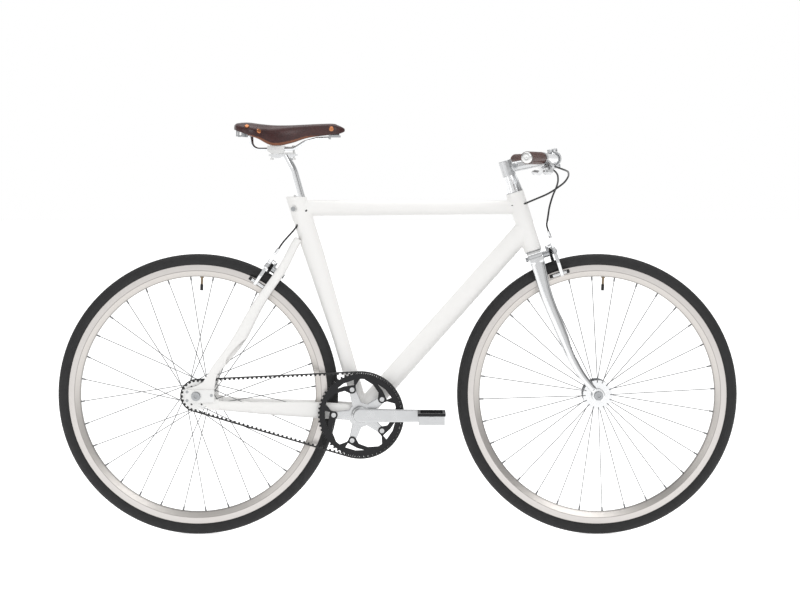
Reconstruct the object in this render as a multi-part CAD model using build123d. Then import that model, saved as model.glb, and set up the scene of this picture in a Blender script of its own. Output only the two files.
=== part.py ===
from build123d import *
import math
import os

# Belt-driven fixed gear bicycle, in millimetres.
# X points forward, Y to the rider's left, Z up. The origin is on the ground midway between the axles.

BASE = (Align.CENTER, Align.CENTER, Align.MIN)
MIDDLE = (Align.CENTER, Align.CENTER, Align.CENTER)

# Wheels
rim_r = 317.0
tyre_height = 26.5
tyre_section_r = 16.0
tyre_wall = 3.2
rim_half_width = 11.5
brake_track = 15.0
rim_depth = 29.0
rim_bed_half = 5.0
rim_bed_wall = 3.0
rim_side_wall = 1.7
bead_half_width = 9.3
bead_wall = 2.0
bead_depth = 5.0
fit_gap = 0.3
tube_gap = 0.4
inner_tube_wall = 0.9
valve_r = 3.0
valve_bore_r = 1.1
valve_length = 34.0
valve_cap_r = 3.8
valve_cap_length = 15.0
wheelbase = 978.0
front_wheel_turn = 3.1
rear_wheel_turn = 1.8

# Spokes
spoke_count = 32
spoke_r = 1.0
spoke_hole_offset = 1.2
nipple_r = 2.0
nipple_length = 12.0
nipple_head_r = 2.7
nipple_head = 2.2
nipple_hole_r = 2.25
flange_hole_r = 1.25
flange_thickness = 3.4
spoke_crossings = 3

# Hubs and axles
front_hub_width = 100.0
front_flange_y = 34.0
front_flange_r = 36.0
front_hole_circle_r = 31.0
front_shell_r = 13.0
front_axle_r = 4.5
rear_hub_width = 120.0
rear_flange_y = 30.0
rear_flange_r = 35.0
rear_hole_circle_r = 30.0
rear_shell_r = 15.0
rear_axle_r = 5.0
locknut_r = 8.0
locknut_width = 7.0
bearing_r = 11.0
bearing_width = 8.0
running_fit = 0.04
axle_nut_r = 10.0
axle_nut_height = 9.0
axle_washer_r = 11.5
axle_washer_height = 1.6
axle_nut_socket_r = 5.0
axle_nut_socket_depth = 4.0

# Belt drive
belt_pitch = 11.0
front_teeth = 60
rear_teeth = 22
belt_width = 11.0
belt_back = 1.5
belt_land = 1.3
belt_tooth_height = 3.6
belt_tooth_base = 6.0
belt_tooth_tip = 4.2
sprocket_clearance = 0.45
sprocket_land_gap = 0.25
chainline = 45.0
sprocket_width = 10.4
sprocket_ring_inner_r = 88.0
sprocket_web = 5.0
bolt_circle_r = 65.0
sprocket_tab_r = 9.5
sprocket_tabs = 5
rear_carrier_r = 18.0

# Cranks and pedals
crank_length = 172.5
bb_drop = 47.6
tyre_to_crank_axis = 57.5
bb_shell_r = 25.0
bb_shell_length = 68.0
bb_bore_r = 17.4
bb_cup_r = 21.0
bb_cup_length = 7.0
spindle_r = 12.0
spindle_bore_r = 9.5
crank_inner_y = 54.0
crank_thickness = 13.0
crank_flare = 7.0
crank_height = 33.0
crank_end_height = 29.0
crank_boss_r = 21.0
spider_web_r = 30.0
spider_thickness = 5.0
spider_arm_root = 25.0
spider_arm_tip_r = 8.5
chainring_bolt_r = 4.0
chainring_bolt_head_r = 5.6
chainring_bolt_head = 1.6
pedal_axle_r = 6.0
pedal_inner_y = 83.0
pedal_width = 94.0
pedal_length = 67.0
pedal_body_height = 17.0
pedal_body_drop = 3.5
pedal_barrel_r = 8.4
pedal_beam = 8.0
pedal_cage_height = 7.5
pedal_cage_rim = 7.0
pedal_tooth = 3.0
pedal_tooth_pitch = 9.0

# Steering
head_angle = 72.46
fork_rake = 43.4
tyre_to_crown_race = 38.1
head_tube_length = 151.3
head_tube_r = 22.0
head_bore_r = 19.8
head_bearing_height = 8.0
head_bearing_flange = 1.2
steerer_r = 14.3
steerer_bore_r = 12.3
blade_wall = 2.4
blade_hollow_stations = 5
fork_tip = 5.0
fork_tip_r = 16.0
crown_height = 28.0
crown_half_depth = 18.5
crown_half_width = 41.0
crown_top_half_width = 24.0
crown_arch_half_width = 24.0
crown_arch_rise = 8.0
crown_gap = 1.0
cone_height = 41.0
cone_base_r = 21.4
cone_top_r = 16.2
stem_sleeve_r = 16.2
stem_sleeve_height = 38.5
stem_length = 114.2
stem_drop = 11.9
stem_arm_half_height = 13.0
stem_arm_half_width = 12.0
stem_clamp_r = 20.0
stem_clamp_width = 42.0
stem_clamp_split = 2.0
stem_ear_up = 20.0
stem_ear_y = 14.0
stem_ear_r = 4.6
stem_ear_reach = 11.0
stem_ear_bolt_r = 2.0
stem_ear_head_r = 3.6
stem_slit = 2.4
pinch_ear_r = 7.5
pinch_ear_half = 14.5
pinch_bolt_r = 3.0
pinch_head_r = 5.6
pinch_head = 3.45
pinch_socket_r = 3.0
steerer_cap = 2.5
bar_clamp_r = 15.9
bar_r = 11.1
bar_straight = 45.0
bar_half_width = 300.0
bar_back_sweep = 17.0
grip_length = 132.0
grip_r = 15.0
plug_r = 13.0
plug_height = 3.0
plug_stub_r = 8.6
plug_stub = 18.0
plug_dimple_r = 3.2
plug_dimple = 2.0
bar_wall = 2.2
bar_bend_r = 60.0
bar_taper = 6.0
bar_clamp_overhang = 3.0

# Brake levers
lever_setback = 15.8
lever_clamp_r = 15.0
lever_clamp_width = 13.0
lever_drop_angle = 45.0
lever_pivot_out = 8.0
lever_pivot_reach = 27.0
lever_ear = 3.2
lever_ear_r = 7.0
lever_tongue = 8.0
lever_side_gap = 0.3
lever_pin_r = 2.5
lever_length = 96.0
lever_half_height = 5.0
lever_tip_r = 6.0
lever_barrel_r = 5.0
lever_barrel_length = 15.0

# Frame tubes
seat_angle = 74.2
seat_lug_height = 28.1
seat_bore_r = 13.65
seatpost_r = 13.6
seatpost_wall = 2.6
seatpost_insert = 96.0
seatpost_travel = 50.0
top_tube_fall = 1.9
top_tube_from_head_top = 39.0
down_tube_from_race = 59.1
tube_wall = 1.8
stay_wall = 1.6
weld_gap = 0.1
binder_f = -22.5
binder_drop = 25.0
binder_r = 3.0
binder_head_r = 5.6
binder_seat_r = 9.5
binder_half_length = 17.0
binder_slot = 2.0
binder_slot_depth = 44.0
dropout_thickness = 6.0
axle_plate_thickness = 4.5
axle_plate_half_height = 15.5
axle_plate_back = 27.0
axle_plate_front = 44.5
dropout_slot_front = 24.0
frame_split = 0.6
frame_split_drop = 7.0
screw_r = 2.0
screw_head_r = 3.6
screw_head = 1.2
bridge_r = 8.0

# Brakes
brake_bolt_r = 3.0
brake_nut_r = 5.5
brake_arm_depth = 8.2
brake_arm_gap = 0.4
brake_arm_r = 6.5
brake_bolt_below_race = 16.6
front_brake_w = 36.0
rear_brake_above_tyre = 11.5
rear_brake_w = 22.0
side_pivot_u = 27.0
side_pivot_v = -11.0
pad_gap = 1.6
pad_thickness = 6.0
pad_height = 8.5
pad_length = 50.0
pad_holder = 4.0
adjuster_r = 4.0
adjuster_length = 16.0
adjuster_v = -36.0
adjuster_u = -33.0
inner_wire_r = 0.8
cable_r = 2.25
cable_end_gap = 0.3
cable_port_r = 2.75
cable_sag = 4.0
cable_frame_runs = 8
brake_line_forward = 4.7
brake_spacer_r = 8.0
front_brake_bolt_back = -24.0
front_brake_spacer_w = 18.55
rear_brake_bolt_back = -14.0
rear_brake_spacer_w = 8.1

# Saddle
rail_r = 3.5
rail_above_seat_tube = 116.3
rail_spread = 22.0
clamp_setback = 56.7
clamp_length = 42.0
clamp_half_width = 28.0
clamp_lower_height = 12.0
clamp_upper_height = 8.0
clamp_bolt_r = 2.5
clamp_bolt_head_r = 4.5
rear_clamp_bolt = -10.4
front_clamp_bolt = 42.8
post_head_forward = 16.5
post_head_length = 70.0
post_head_height = 10.0
post_neck_forward = 19.0
post_bend_r = 75.0
post_straight = 38.0
leather = 4.5
cover_round = 0.62
rail_bend_r = 22.0
cradle_tongue = 14.0
rivet_r = 6.0
rivet_height = 1.6
rivet_gap = 0.3
# station of the cover, share of its section
rivet_places = ((2, 0.17), (3, 0.11), (7, 0.11))

# Places worked out from the sizes above
tyre_r = rim_r + tyre_height
axle_z = tyre_r
rear_x = -wheelbase / 2
front_x = wheelbase / 2
front_pitch_r = front_teeth * belt_pitch / (2 * math.pi)
rear_pitch_r = rear_teeth * belt_pitch / (2 * math.pi)
crank_outer_y = crank_inner_y + crank_thickness + crank_flare
pad_track_r = rim_r - brake_track / 2 - 0.5


def belt_length(centres):
    """Length of the belt's pitch line round both sprockets."""
    lean = math.asin((front_pitch_r - rear_pitch_r) / centres)
    runs = 2 * centres * math.cos(lean)
    return runs + front_pitch_r * (math.pi + 2 * lean) + rear_pitch_r * (math.pi - 2 * lean)


def belt_centres(teeth):
    """The distance between the axles that a belt with so many teeth fits."""
    low = front_pitch_r + rear_pitch_r
    high = teeth * belt_pitch
    for _ in range(60):
        middle = (low + high) / 2
        if belt_length(middle) > teeth * belt_pitch:
            high = middle
        else:
            low = middle
    return (low + high) / 2


def shortest_belt(least_centres):
    """The fewest belt teeth that still leave room for the wheel in front of the axle."""
    teeth = front_teeth + rear_teeth
    while belt_centres(teeth) < least_centres:
        teeth += 1
    return teeth


belt_teeth = shortest_belt(tyre_r + tyre_to_crank_axis)
drive_centres = belt_centres(belt_teeth)
bb_x = rear_x + math.sqrt(drive_centres**2 - bb_drop**2)
bb_z = axle_z - bb_drop


def turned(angle):
    """Cosine and sine of an angle in degrees."""
    return math.cos(math.radians(angle)), math.sin(math.radians(angle))


def steer(s, f=0.0, y=0.0):
    """A point s up the steering axis from the front axle's level and f in front of it."""
    c, n = turned(head_angle)
    foot_x = front_x - fork_rake * n
    foot_z = axle_z - fork_rake * c
    return Vector(foot_x - c * s + n * f, y, foot_z + n * s + c * f)


def seat(s, f=0.0, y=0.0):
    """A point s up the seat tube's axis from the bottom bracket and f in front of it."""
    c, n = turned(seat_angle)
    return Vector(bb_x - c * s + n * f, y, bb_z + n * s + c * f)


steer_up = (steer(1) - steer(0)).normalized()
steer_forward = (steer(0, 1) - steer(0)).normalized()
seat_up = (seat(1) - seat(0)).normalized()
crown_race_s = tyre_r + tyre_to_crown_race
head_top_s = crown_race_s + head_tube_length
top_tube_head_s = head_top_s - top_tube_from_head_top
top_tube_z = steer(top_tube_head_s).Z - top_tube_fall
seat_top_s = (top_tube_z + seat_lug_height - bb_z) / seat_up.Z
seat_bore_depth = seatpost_insert + seatpost_travel + 4.0
rail_z = seat(seat_top_s).Z + rail_above_seat_tube
clamp_x = seat(seat_top_s).X - clamp_setback
front_brake_bolt_s = crown_race_s - brake_bolt_below_race
rear_brake_radius = tyre_r + rear_brake_above_tyre
cone_top_s = head_top_s + crown_gap + cone_height
stem_top_s = cone_top_s + stem_sleeve_height


def rod(start, end, r, r_end=None):
    """A round bar, or a cone, from one point to another."""
    axis = Vector(end) - Vector(start)
    place = Plane(origin=start, z_dir=axis)
    if r_end is None:
        return place * Cylinder(r, axis.length, align=BASE)
    return place * Cone(r, r_end, axis.length, align=BASE)


def across(x, z, r, y_low, y_high):
    """A round bar along Y."""
    return rod((x, y_low, z), (x, y_high, z), r)


def side_plate(flat, y_low, y_high):
    """A side-view outline made solid between two Y values."""
    place = Plane(origin=(0, y_high, 0), x_dir=(1, 0, 0), z_dir=(0, -1, 0))
    return extrude(place * flat, amount=y_high - y_low, dir=(0, -1, 0))


def outline(*points):
    """A flat polygon that faces up whichever way round its points run."""
    doubled = sum(a[0] * b[1] - b[0] * a[1] for a, b in zip(points, points[1:] + points[:1]))
    return Polygon(*(points if doubled > 0 else points[::-1]), align=None)


def mirrored(shape):
    """The same piece on the other side of the bicycle."""
    return mirror(shape, about=Plane.XZ)


def pair(shape):
    """A piece and its mirror image."""
    return [shape, mirrored(shape)]


def oval(centre, along, half_height, half_width):
    """An ellipse square to a direction in the side view, wide along Y."""
    return Plane(origin=centre, x_dir=(0, 1, 0), z_dir=along) * Ellipse(half_width, half_height)


def oval_loft(stations, ruled=False):
    """A tapering tube through stations of centre, half height and half width."""
    centres = [Vector(centre) for centre, _, _ in stations]
    sections = []
    for i, (_, half_height, half_width) in enumerate(stations):
        before = centres[max(i - 1, 0)]
        after = centres[min(i + 1, len(centres) - 1)]
        along = Vector(after.X - before.X, 0, after.Z - before.Z)
        sections.append(oval(centres[i], along, half_height, half_width))
    return loft(sections, ruled=ruled)


def hollow_tube(start, end, start_size, end_size, wall=tube_wall):
    """A tapering oval tube with a wall, open at both ends."""
    outer = oval_loft([(start, *start_size), (end, *end_size)], ruled=True)
    step = (Vector(end) - Vector(start)).normalized()
    inner_start = [size - wall for size in start_size]
    inner_end = [size - wall for size in end_size]
    inner = oval_loft([(Vector(start) - step, *inner_start), (Vector(end) + step, *inner_end)], ruled=True)
    return outer - inner


def link(points, r, low, high):
    """A flat bar with round corners through points of its own plane, between two heights."""
    bar = None
    for a, b in zip(points, points[1:]):
        run = Vector(*b) - Vector(*a)
        angle = math.degrees(math.atan2(run.Y, run.X))
        middle = Pos((a[0] + b[0]) / 2, (a[1] + b[1]) / 2)
        piece = middle * Rot(0, 0, angle) * SlotCenterToCenter(run.length, 2 * r)
        bar = piece if bar is None else bar + piece
    return Pos(0, 0, low) * extrude(bar, amount=high - low)


def around_hub(x, shape, turn=0.0):
    """Moves a piece made round the origin to the wheel centre at x, rolled by an angle."""
    return Pos(x, 0, axle_z) * (Rot(0, turn, 0) * shape)


# Wheels

def rim_profile():
    """The rim's section, radius against width, with its hollow."""
    bed_r = rim_r - rim_depth
    track_r = rim_r - brake_track
    well_r = rim_r - bead_depth - fit_gap
    groove_r = well_r - 3.5
    lip_in = bead_half_width + 0.2
    groove_half = 5.5
    outer = [
        (rim_r, lip_in), (well_r, lip_in), (groove_r, groove_half), (groove_r, -groove_half),
        (well_r, -lip_in), (rim_r, -lip_in), (rim_r, -rim_half_width), (track_r, -rim_half_width),
        (bed_r, -rim_bed_half), (bed_r, rim_bed_half), (track_r, rim_half_width), (rim_r, rim_half_width),
    ]
    inner_top = groove_r - 2.0
    side = rim_half_width - rim_side_wall
    low = rim_bed_half - 0.2
    cavity = [
        (inner_top, groove_half), (inner_top, -groove_half), (track_r, -side),
        (bed_r + rim_bed_wall, -low), (bed_r + rim_bed_wall, low), (track_r, side),
    ]
    return outline(*outer) - outline(*cavity)


def spoke_lines(hole_circle_r, flange_r, flange_y, crossings):
    """Each spoke as its flange point, its rim point and the side of the flange that it leaves."""
    lines = []
    per_side = spoke_count // 2
    step = 360 / per_side
    reach = rim_r - rim_depth + rim_bed_wall
    offset = hole_circle_r * turned(90 - crossings * step)[0]
    over_flange = math.sqrt(flange_r**2 - offset**2) - math.sqrt(hole_circle_r**2 - offset**2)
    for side in (1, -1):
        for i in range(per_side):
            hub_angle = i * step + (step / 2 if side < 0 else 0)
            if crossings:
                lead = 1 if i % 2 else -1
                rim_angle = hub_angle + lead * crossings * step
                outboard = lead > 0
            else:
                rim_angle = hub_angle
                outboard = True
            rim_angle += 360 / spoke_count / 2
            hub_angle += 360 / spoke_count / 2
            out = flange_thickness / 2 + spoke_r + 0.15
            lean_in = over_flange * flange_y / reach + 0.2
            y = side * (flange_y + (out + lean_in if outboard else -out))
            hub_c, hub_s = turned(hub_angle)
            rim_c, rim_s = turned(rim_angle)
            start = Vector(hole_circle_r * hub_s, y, hole_circle_r * hub_c)
            end = Vector(reach * rim_s, side * spoke_hole_offset, reach * rim_c)
            through = -side if outboard else side
            lines.append((start, end, through))
    return lines


def rim(lines):
    """The rim with its spoke holes and its valve hole."""
    body = revolve(Plane.XY * rim_profile(), axis=Axis.Y)
    holes = [rod(end - (end - start).normalized() * 9, end + (end - start).normalized() * 2, nipple_hole_r)
             for start, end, _ in lines]
    valve = rod((0, 0, rim_r - rim_depth - 2), (0, 0, rim_r), valve_r + 0.3)
    return body - holes - valve


def spoke(start, end, through):
    """A spoke with its elbow through the flange, its head and its nipple."""
    along = (end - start).normalized()
    seat_end = end + along * 0.6
    wire = rod(start, seat_end - along * nipple_length, spoke_r)
    nipple = rod(seat_end - along * nipple_length - along, seat_end + along * 0.3, nipple_r)
    head = rod(seat_end, seat_end + along * nipple_head, nipple_head_r)
    inward = Vector(0, through, 0)
    tail = start + inward * (flange_thickness + 2 * spoke_r + 1.6)
    elbow = rod(start, tail, spoke_r)
    button = rod(tail - inward * 0.85, tail + inward * 0.3, flange_hole_r + 0.4)
    corner = Pos(start) * Sphere(spoke_r)
    return wire + nipple + head + elbow + button + corner


def tyre():
    """The tyre as an open ring whose beads sit inside the rim."""
    centre = tyre_r - tyre_section_r
    inner_r = tyre_section_r - tyre_wall
    skirt_r = rim_r + 0.4
    bead_r = rim_r - bead_depth
    outer_half = math.sqrt(tyre_section_r**2 - (centre - skirt_r) ** 2)
    inner_half = bead_half_width - bead_wall
    inner_at = centre - math.sqrt(inner_r**2 - inner_half**2)
    edges = [
        ThreePointArc((skirt_r, outer_half), (tyre_r, 0), (skirt_r, -outer_half)),
        Line((skirt_r, -outer_half), (skirt_r, -bead_half_width)),
        Line((skirt_r, -bead_half_width), (bead_r, -bead_half_width)),
        Line((bead_r, -bead_half_width), (bead_r, -inner_half)),
        Line((bead_r, -inner_half), (inner_at, -inner_half)),
        ThreePointArc((inner_at, -inner_half), (centre + inner_r, 0), (inner_at, inner_half)),
        Line((inner_at, inner_half), (bead_r, inner_half)),
        Line((bead_r, inner_half), (bead_r, bead_half_width)),
        Line((bead_r, bead_half_width), (skirt_r, bead_half_width)),
        Line((skirt_r, bead_half_width), (skirt_r, outer_half)),
    ]
    return revolve(make_face(edges), axis=Axis.Y)


def inner_tube():
    """The thin air tube with its hollow valve as one piece, and the valve's cap."""
    centre = tyre_r - tyre_section_r
    r = tyre_section_r - tyre_wall - tube_gap
    ring = Rot(90, 0, 0) * Torus(centre, r)
    air = Rot(90, 0, 0) * Torus(centre, r - inner_tube_wall)
    top = centre - r + 2
    stem_end = rim_r - rim_depth - valve_length + valve_cap_length
    ring += rod((0, 0, stem_end), (0, 0, top), valve_r)
    ring += rod((0, 0, rim_r - rim_depth - 3), (0, 0, rim_r - rim_depth - 0.5), valve_r + 2)
    ring -= [air, rod((0, 0, stem_end - 1), (0, 0, top), valve_bore_r)]
    cap = rod((0, 0, stem_end - valve_cap_length), (0, 0, stem_end - 0.1), valve_cap_r)
    return [ring, cap]


def hub(shell_r, flange_r, flange_y, hole_circle_r, axle_r, half_width, lines, tail_r=None, tail_y=0.0):
    """A hub shell with two drilled flanges, and its two bearings."""
    end_y = half_width - locknut_width - 1.0
    body = across(0, 0, shell_r, -flange_y, flange_y)
    for side in (1, -1):
        inner = side * (flange_y - flange_thickness / 2)
        outer = side * (flange_y + flange_thickness / 2)
        body += across(0, 0, flange_r, min(inner, outer), max(inner, outer))
        body += rod((0, inner, 0), (0, side * end_y, 0), shell_r)
        body += rod((0, side * (flange_y - 10), 0), (0, inner, 0), shell_r, shell_r + 6)
    if tail_r is not None:
        body += across(0, 0, tail_r, -tail_y, -flange_y)
    for start, _, through in lines:
        hole_start = Vector(start.X, start.Y, start.Z)
        body -= rod(hole_start, hole_start + Vector(0, through * (flange_thickness + 5), 0), flange_hole_r)
    body -= across(0, 0, axle_r + 3, -half_width, half_width)
    bearings = []
    for side in (1, -1):
        near = side * (end_y - bearing_width)
        low, high = sorted((near, side * end_y))
        body -= across(0, 0, bearing_r, low - (0.1 if side > 0 else 1), high + (1 if side > 0 else 0.1))
        ring = across(0, 0, bearing_r - 0.02, low, high)
        bearings.append(ring - across(0, 0, axle_r + running_fit, low - 1, high + 1))
    return [body, *bearings]


def axle_set(x, axle_r, half_width, outer_y):
    """An axle with its locknuts, and the round nuts with washers that clamp it."""
    end_y = outer_y + axle_nut_height - axle_nut_socket_depth - 0.5
    axle = across(x, axle_z, axle_r, -end_y, end_y)
    for side in (1, -1):
        low, high = sorted((side * (half_width - locknut_width), side * half_width))
        axle += across(x, axle_z, locknut_r, low, high)
    nut = across(x, axle_z, axle_washer_r, outer_y, outer_y + axle_washer_height)
    nut += across(x, axle_z, axle_nut_r, outer_y, outer_y + axle_nut_height)
    nut -= across(x, axle_z, axle_r + 0.02, outer_y - 1, end_y + 0.4)
    socket = side_plate(RegularPolygon(axle_nut_socket_r, 6), 0, axle_nut_socket_depth + 1)
    nut -= Pos(x, outer_y + axle_nut_height - axle_nut_socket_depth, axle_z) * socket
    return [axle, nut, mirrored(nut)]


# Belt drive

def sprocket_outline(teeth):
    """The toothed edge of a sprocket, with a groove for each belt tooth."""
    pitch_r = teeth * belt_pitch / (2 * math.pi)
    tip_r = pitch_r - belt_land - sprocket_land_gap
    root_r = pitch_r - belt_land - belt_tooth_height - sprocket_clearance
    half_top = belt_tooth_base / 2 + sprocket_clearance
    half_root = belt_tooth_tip / 2 + sprocket_clearance
    points = []
    for i in range(teeth):
        c, s = turned(i * 360 / teeth)
        for half, r in ((-half_top, tip_r), (-half_root, root_r), (half_root, root_r), (half_top, tip_r)):
            points.append((r * c - half * s, r * s + half * c))
    return outline(*points)


def polar(r, angle):
    """A flat point at a radius and an angle."""
    c, s = turned(angle)
    return (r * c, r * s)


def sprocket_tab(angle):
    """One mounting tab: a boss under the bolt and two struts that spring from the toothed ring."""
    ring = sprocket_ring_inner_r + 1.5
    inner = sprocket_ring_inner_r - 1
    edge = [
        polar(bolt_circle_r - 8, angle - 6), polar(bolt_circle_r - 8, angle + 6), polar(70, angle + 15),
        polar(80, angle + 31), polar(ring, angle + 50), polar(ring + 1, angle + 36),
        polar(ring + 1, angle + 20), polar(ring + 1, angle), polar(ring, angle - 18), polar(73, angle - 9),
    ]
    slot = [
        polar(74.5, angle - 6), polar(inner, angle - 7), polar(inner, angle + 10),
        polar(inner - 1, angle + 25), polar(80.5, angle + 12),
    ]
    tab = outline(*edge) - outline(*slot)
    return tab + Pos(*polar(bolt_circle_r, angle)) * Circle(sprocket_tab_r)


def front_sprocket():
    """The toothed ring with its five tabs, centred on the bottom bracket."""
    outer = sprocket_outline(front_teeth)
    ring = outer - Circle(sprocket_ring_inner_r)
    body = side_plate(ring, -chainline - sprocket_width / 2, -chainline + sprocket_width / 2)
    tabs = Sketch()
    for i in range(sprocket_tabs):
        tabs += sprocket_tab(180 + i * 360 / sprocket_tabs)
    web_outer = -chainline - sprocket_width / 2
    body += side_plate(tabs, web_outer, web_outer + sprocket_web)
    for i in range(sprocket_tabs):
        x, z = polar(bolt_circle_r, 180 + i * 360 / sprocket_tabs)
        body -= across(x, z, chainring_bolt_r + 0.1, -chainline - 20, -chainline + 20)
    return Pos(bb_x, 0, bb_z) * body


def rear_sprocket():
    """The small sprocket on the hub's carrier."""
    phase = belt_phase()
    toothed = Rot(0, 0, phase) * sprocket_outline(rear_teeth)
    body = side_plate(toothed, -chainline - sprocket_width / 2, -chainline + sprocket_width / 2)
    body -= across(0, 0, rear_carrier_r + 0.05, -chainline - 20, -chainline + 20)
    for i in range(6):
        x, z = polar(rear_carrier_r + 6.5, i * 60)
        body -= across(x, z, 2.6, -chainline - 20, -chainline + 20)
    return around_hub(rear_x, body)


def drive_lean():
    """Angle of the line from the bottom bracket back to the rear axle, in degrees."""
    return math.degrees(math.atan2(axle_z - bb_z, rear_x - bb_x))


def belt_frame(distance):
    """Point, outward direction and travel direction at a distance along the belt's pitch line."""
    lean = math.degrees(math.asin((front_pitch_r - rear_pitch_r) / drive_centres))
    run = drive_centres * math.cos(math.radians(lean))
    front_wrap = front_pitch_r * math.radians(180 + 2 * lean)
    rear_wrap = rear_pitch_r * math.radians(180 - 2 * lean)
    back = drive_lean()
    # the front wrap starts at its lower tangent point and runs forward round to the upper one
    front_start = back + 90 - lean
    if distance < front_wrap:
        angle = front_start + math.degrees(distance / front_pitch_r)
        c, s = turned(angle)
        return (bb_x + front_pitch_r * c, bb_z + front_pitch_r * s), (c, s), (-s, c)
    distance -= front_wrap
    upper = front_start + 180 + 2 * lean
    c, s = turned(upper)
    if distance < run:
        x = bb_x + front_pitch_r * c - s * distance
        z = bb_z + front_pitch_r * s + c * distance
        return (x, z), (c, s), (-s, c)
    distance -= run
    if distance < rear_wrap:
        angle = upper + math.degrees(distance / rear_pitch_r)
        c, s = turned(angle)
        return (rear_x + rear_pitch_r * c, axle_z + rear_pitch_r * s), (c, s), (-s, c)
    distance -= rear_wrap
    c, s = turned(front_start)
    x = bb_x + front_pitch_r * c + s * (run - distance)
    z = bb_z + front_pitch_r * s - c * (run - distance)
    return (x, z), (c, s), (-s, c)


def belt_offset():
    """Where the first belt tooth sits, so that it fills a groove of the front sprocket."""
    lean = math.degrees(math.asin((front_pitch_r - rear_pitch_r) / drive_centres))
    front_start = drive_lean() + 90 - lean
    groove = 360 / front_teeth
    ahead = math.ceil(front_start / groove) * groove - front_start
    return front_pitch_r * math.radians(ahead)


def belt_phase():
    """Angle that turns the rear sprocket so that its grooves meet the belt's teeth."""
    lean = math.degrees(math.asin((front_pitch_r - rear_pitch_r) / drive_centres))
    front_wrap = front_pitch_r * math.radians(180 + 2 * lean)
    run = drive_centres * math.cos(math.radians(lean))
    first = belt_offset()
    start = front_wrap + run
    tooth = math.ceil((start - first) / belt_pitch)
    along = first + tooth * belt_pitch - start
    upper = drive_lean() + 90 - lean + 180 + 2 * lean
    return upper + math.degrees(along / rear_pitch_r)


def drive_belt():
    """The toothed belt as one closed loop in mesh with both sprockets."""
    lean = math.degrees(math.asin((front_pitch_r - rear_pitch_r) / drive_centres))
    front_start = drive_lean() + 90 - lean
    upper = front_start + 180 + 2 * lean
    backs = []
    for centre, pitch_r, start, sweep_angle in (
        ((bb_x, bb_z), front_pitch_r, front_start, 180 + 2 * lean),
        ((rear_x, axle_z), rear_pitch_r, upper, 180 - 2 * lean),
    ):
        r = pitch_r + belt_back
        points = []
        for share in (0, 0.5, 1):
            c, s = turned(start + sweep_angle * share)
            points.append((centre[0] + r * c, centre[1] + r * s))
        backs.append(points)
    edges = [
        ThreePointArc(*backs[0]), Line(backs[0][2], backs[1][0]),
        ThreePointArc(*backs[1]), Line(backs[1][2], backs[0][0]),
    ]
    teeth = []
    first = belt_offset()
    for i in range(belt_teeth):
        (x, z), out, along = belt_frame((first + i * belt_pitch) % (belt_teeth * belt_pitch))
        for half, depth in (
            (-belt_tooth_base / 2, belt_land), (-belt_tooth_tip / 2, belt_land + belt_tooth_height),
            (belt_tooth_tip / 2, belt_land + belt_tooth_height), (belt_tooth_base / 2, belt_land),
        ):
            teeth.append((x - out[0] * depth + along[0] * half, z - out[1] * depth + along[1] * half))
    face = make_face(edges) - outline(*teeth)
    return side_plate(face, -chainline - belt_width / 2, -chainline + belt_width / 2)


# Cranks and pedals

def crank_arm(side):
    """A crank arm along +X with its boss, on the given side of the bicycle."""
    profile = outline(
        (0, crank_height / 2), (crank_length, crank_end_height / 2),
        (crank_length, -crank_end_height / 2), (0, -crank_height / 2),
    )
    profile += Circle(crank_height / 2) + Pos(crank_length, 0) * Circle(crank_end_height / 2)
    outer = crank_outer_y
    arm = side_plate(profile, crank_inner_y - 8, outer)
    flared = crank_inner_y + crank_flare
    plan = outline(
        (-crank_height, crank_inner_y), (30, crank_inner_y), (crank_length - 30, flared),
        (crank_length + 30, flared), (crank_length + 30, outer), (crank_length - 20, outer),
        (20, outer - crank_flare), (-crank_height, outer - crank_flare)
    )
    arm = arm & (Pos(0, 0, -crank_height) * extrude(plan, amount=2 * crank_height))
    boss_inner = chainline - sprocket_width / 2
    arm += across(0, 0, crank_boss_r, boss_inner, crank_inner_y + 6)
    arm -= across(crank_length, 0, pedal_axle_r + running_fit, crank_inner_y, outer + 5)
    if side < 0:
        arm = mirrored(arm)
    return arm


def spider():
    """The five-armed spider behind the sprocket's tabs."""
    flat = Circle(spider_web_r)
    for i in range(sprocket_tabs):
        angle = 180 + i * 360 / sprocket_tabs
        c, s = turned(angle)
        half = spider_arm_root / 2
        root = spider_web_r - 8
        tip = bolt_circle_r
        arm = outline(
            (root * c - half * s, root * s + half * c),
            (tip * c - spider_arm_tip_r * s, tip * s + spider_arm_tip_r * c),
            (tip * c + spider_arm_tip_r * s, tip * s - spider_arm_tip_r * c),
            (root * c + half * s, root * s - half * c)
        )
        flat += arm + Pos(tip * c, tip * s) * Circle(spider_arm_tip_r)
    outer = -chainline - sprocket_width / 2 + sprocket_web + 0.1
    body = side_plate(flat, outer, outer + spider_thickness)
    for i in range(sprocket_tabs):
        x, z = polar(bolt_circle_r, 180 + i * 360 / sprocket_tabs)
        body -= across(x, z, chainring_bolt_r + 0.1, -chainline - 20, -chainline + 20)
    return body


def right_crank():
    """The right arm with its spider, bored for the spindle."""
    body = crank_arm(-1) + spider()
    body -= across(0, 0, spindle_r + 0.02, -crank_outer_y + 8, 0)
    return Pos(bb_x, 0, bb_z) * body


def left_crank():
    """The left arm, pointing the opposite way, clamped on the spindle by a slot and two bolts."""
    body = crank_arm(1)
    body -= across(0, 0, spindle_r + 0.02, 0, crank_outer_y + 5)
    return Pos(bb_x, 0, bb_z) * (Rot(0, 180, 0) * body)


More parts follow.
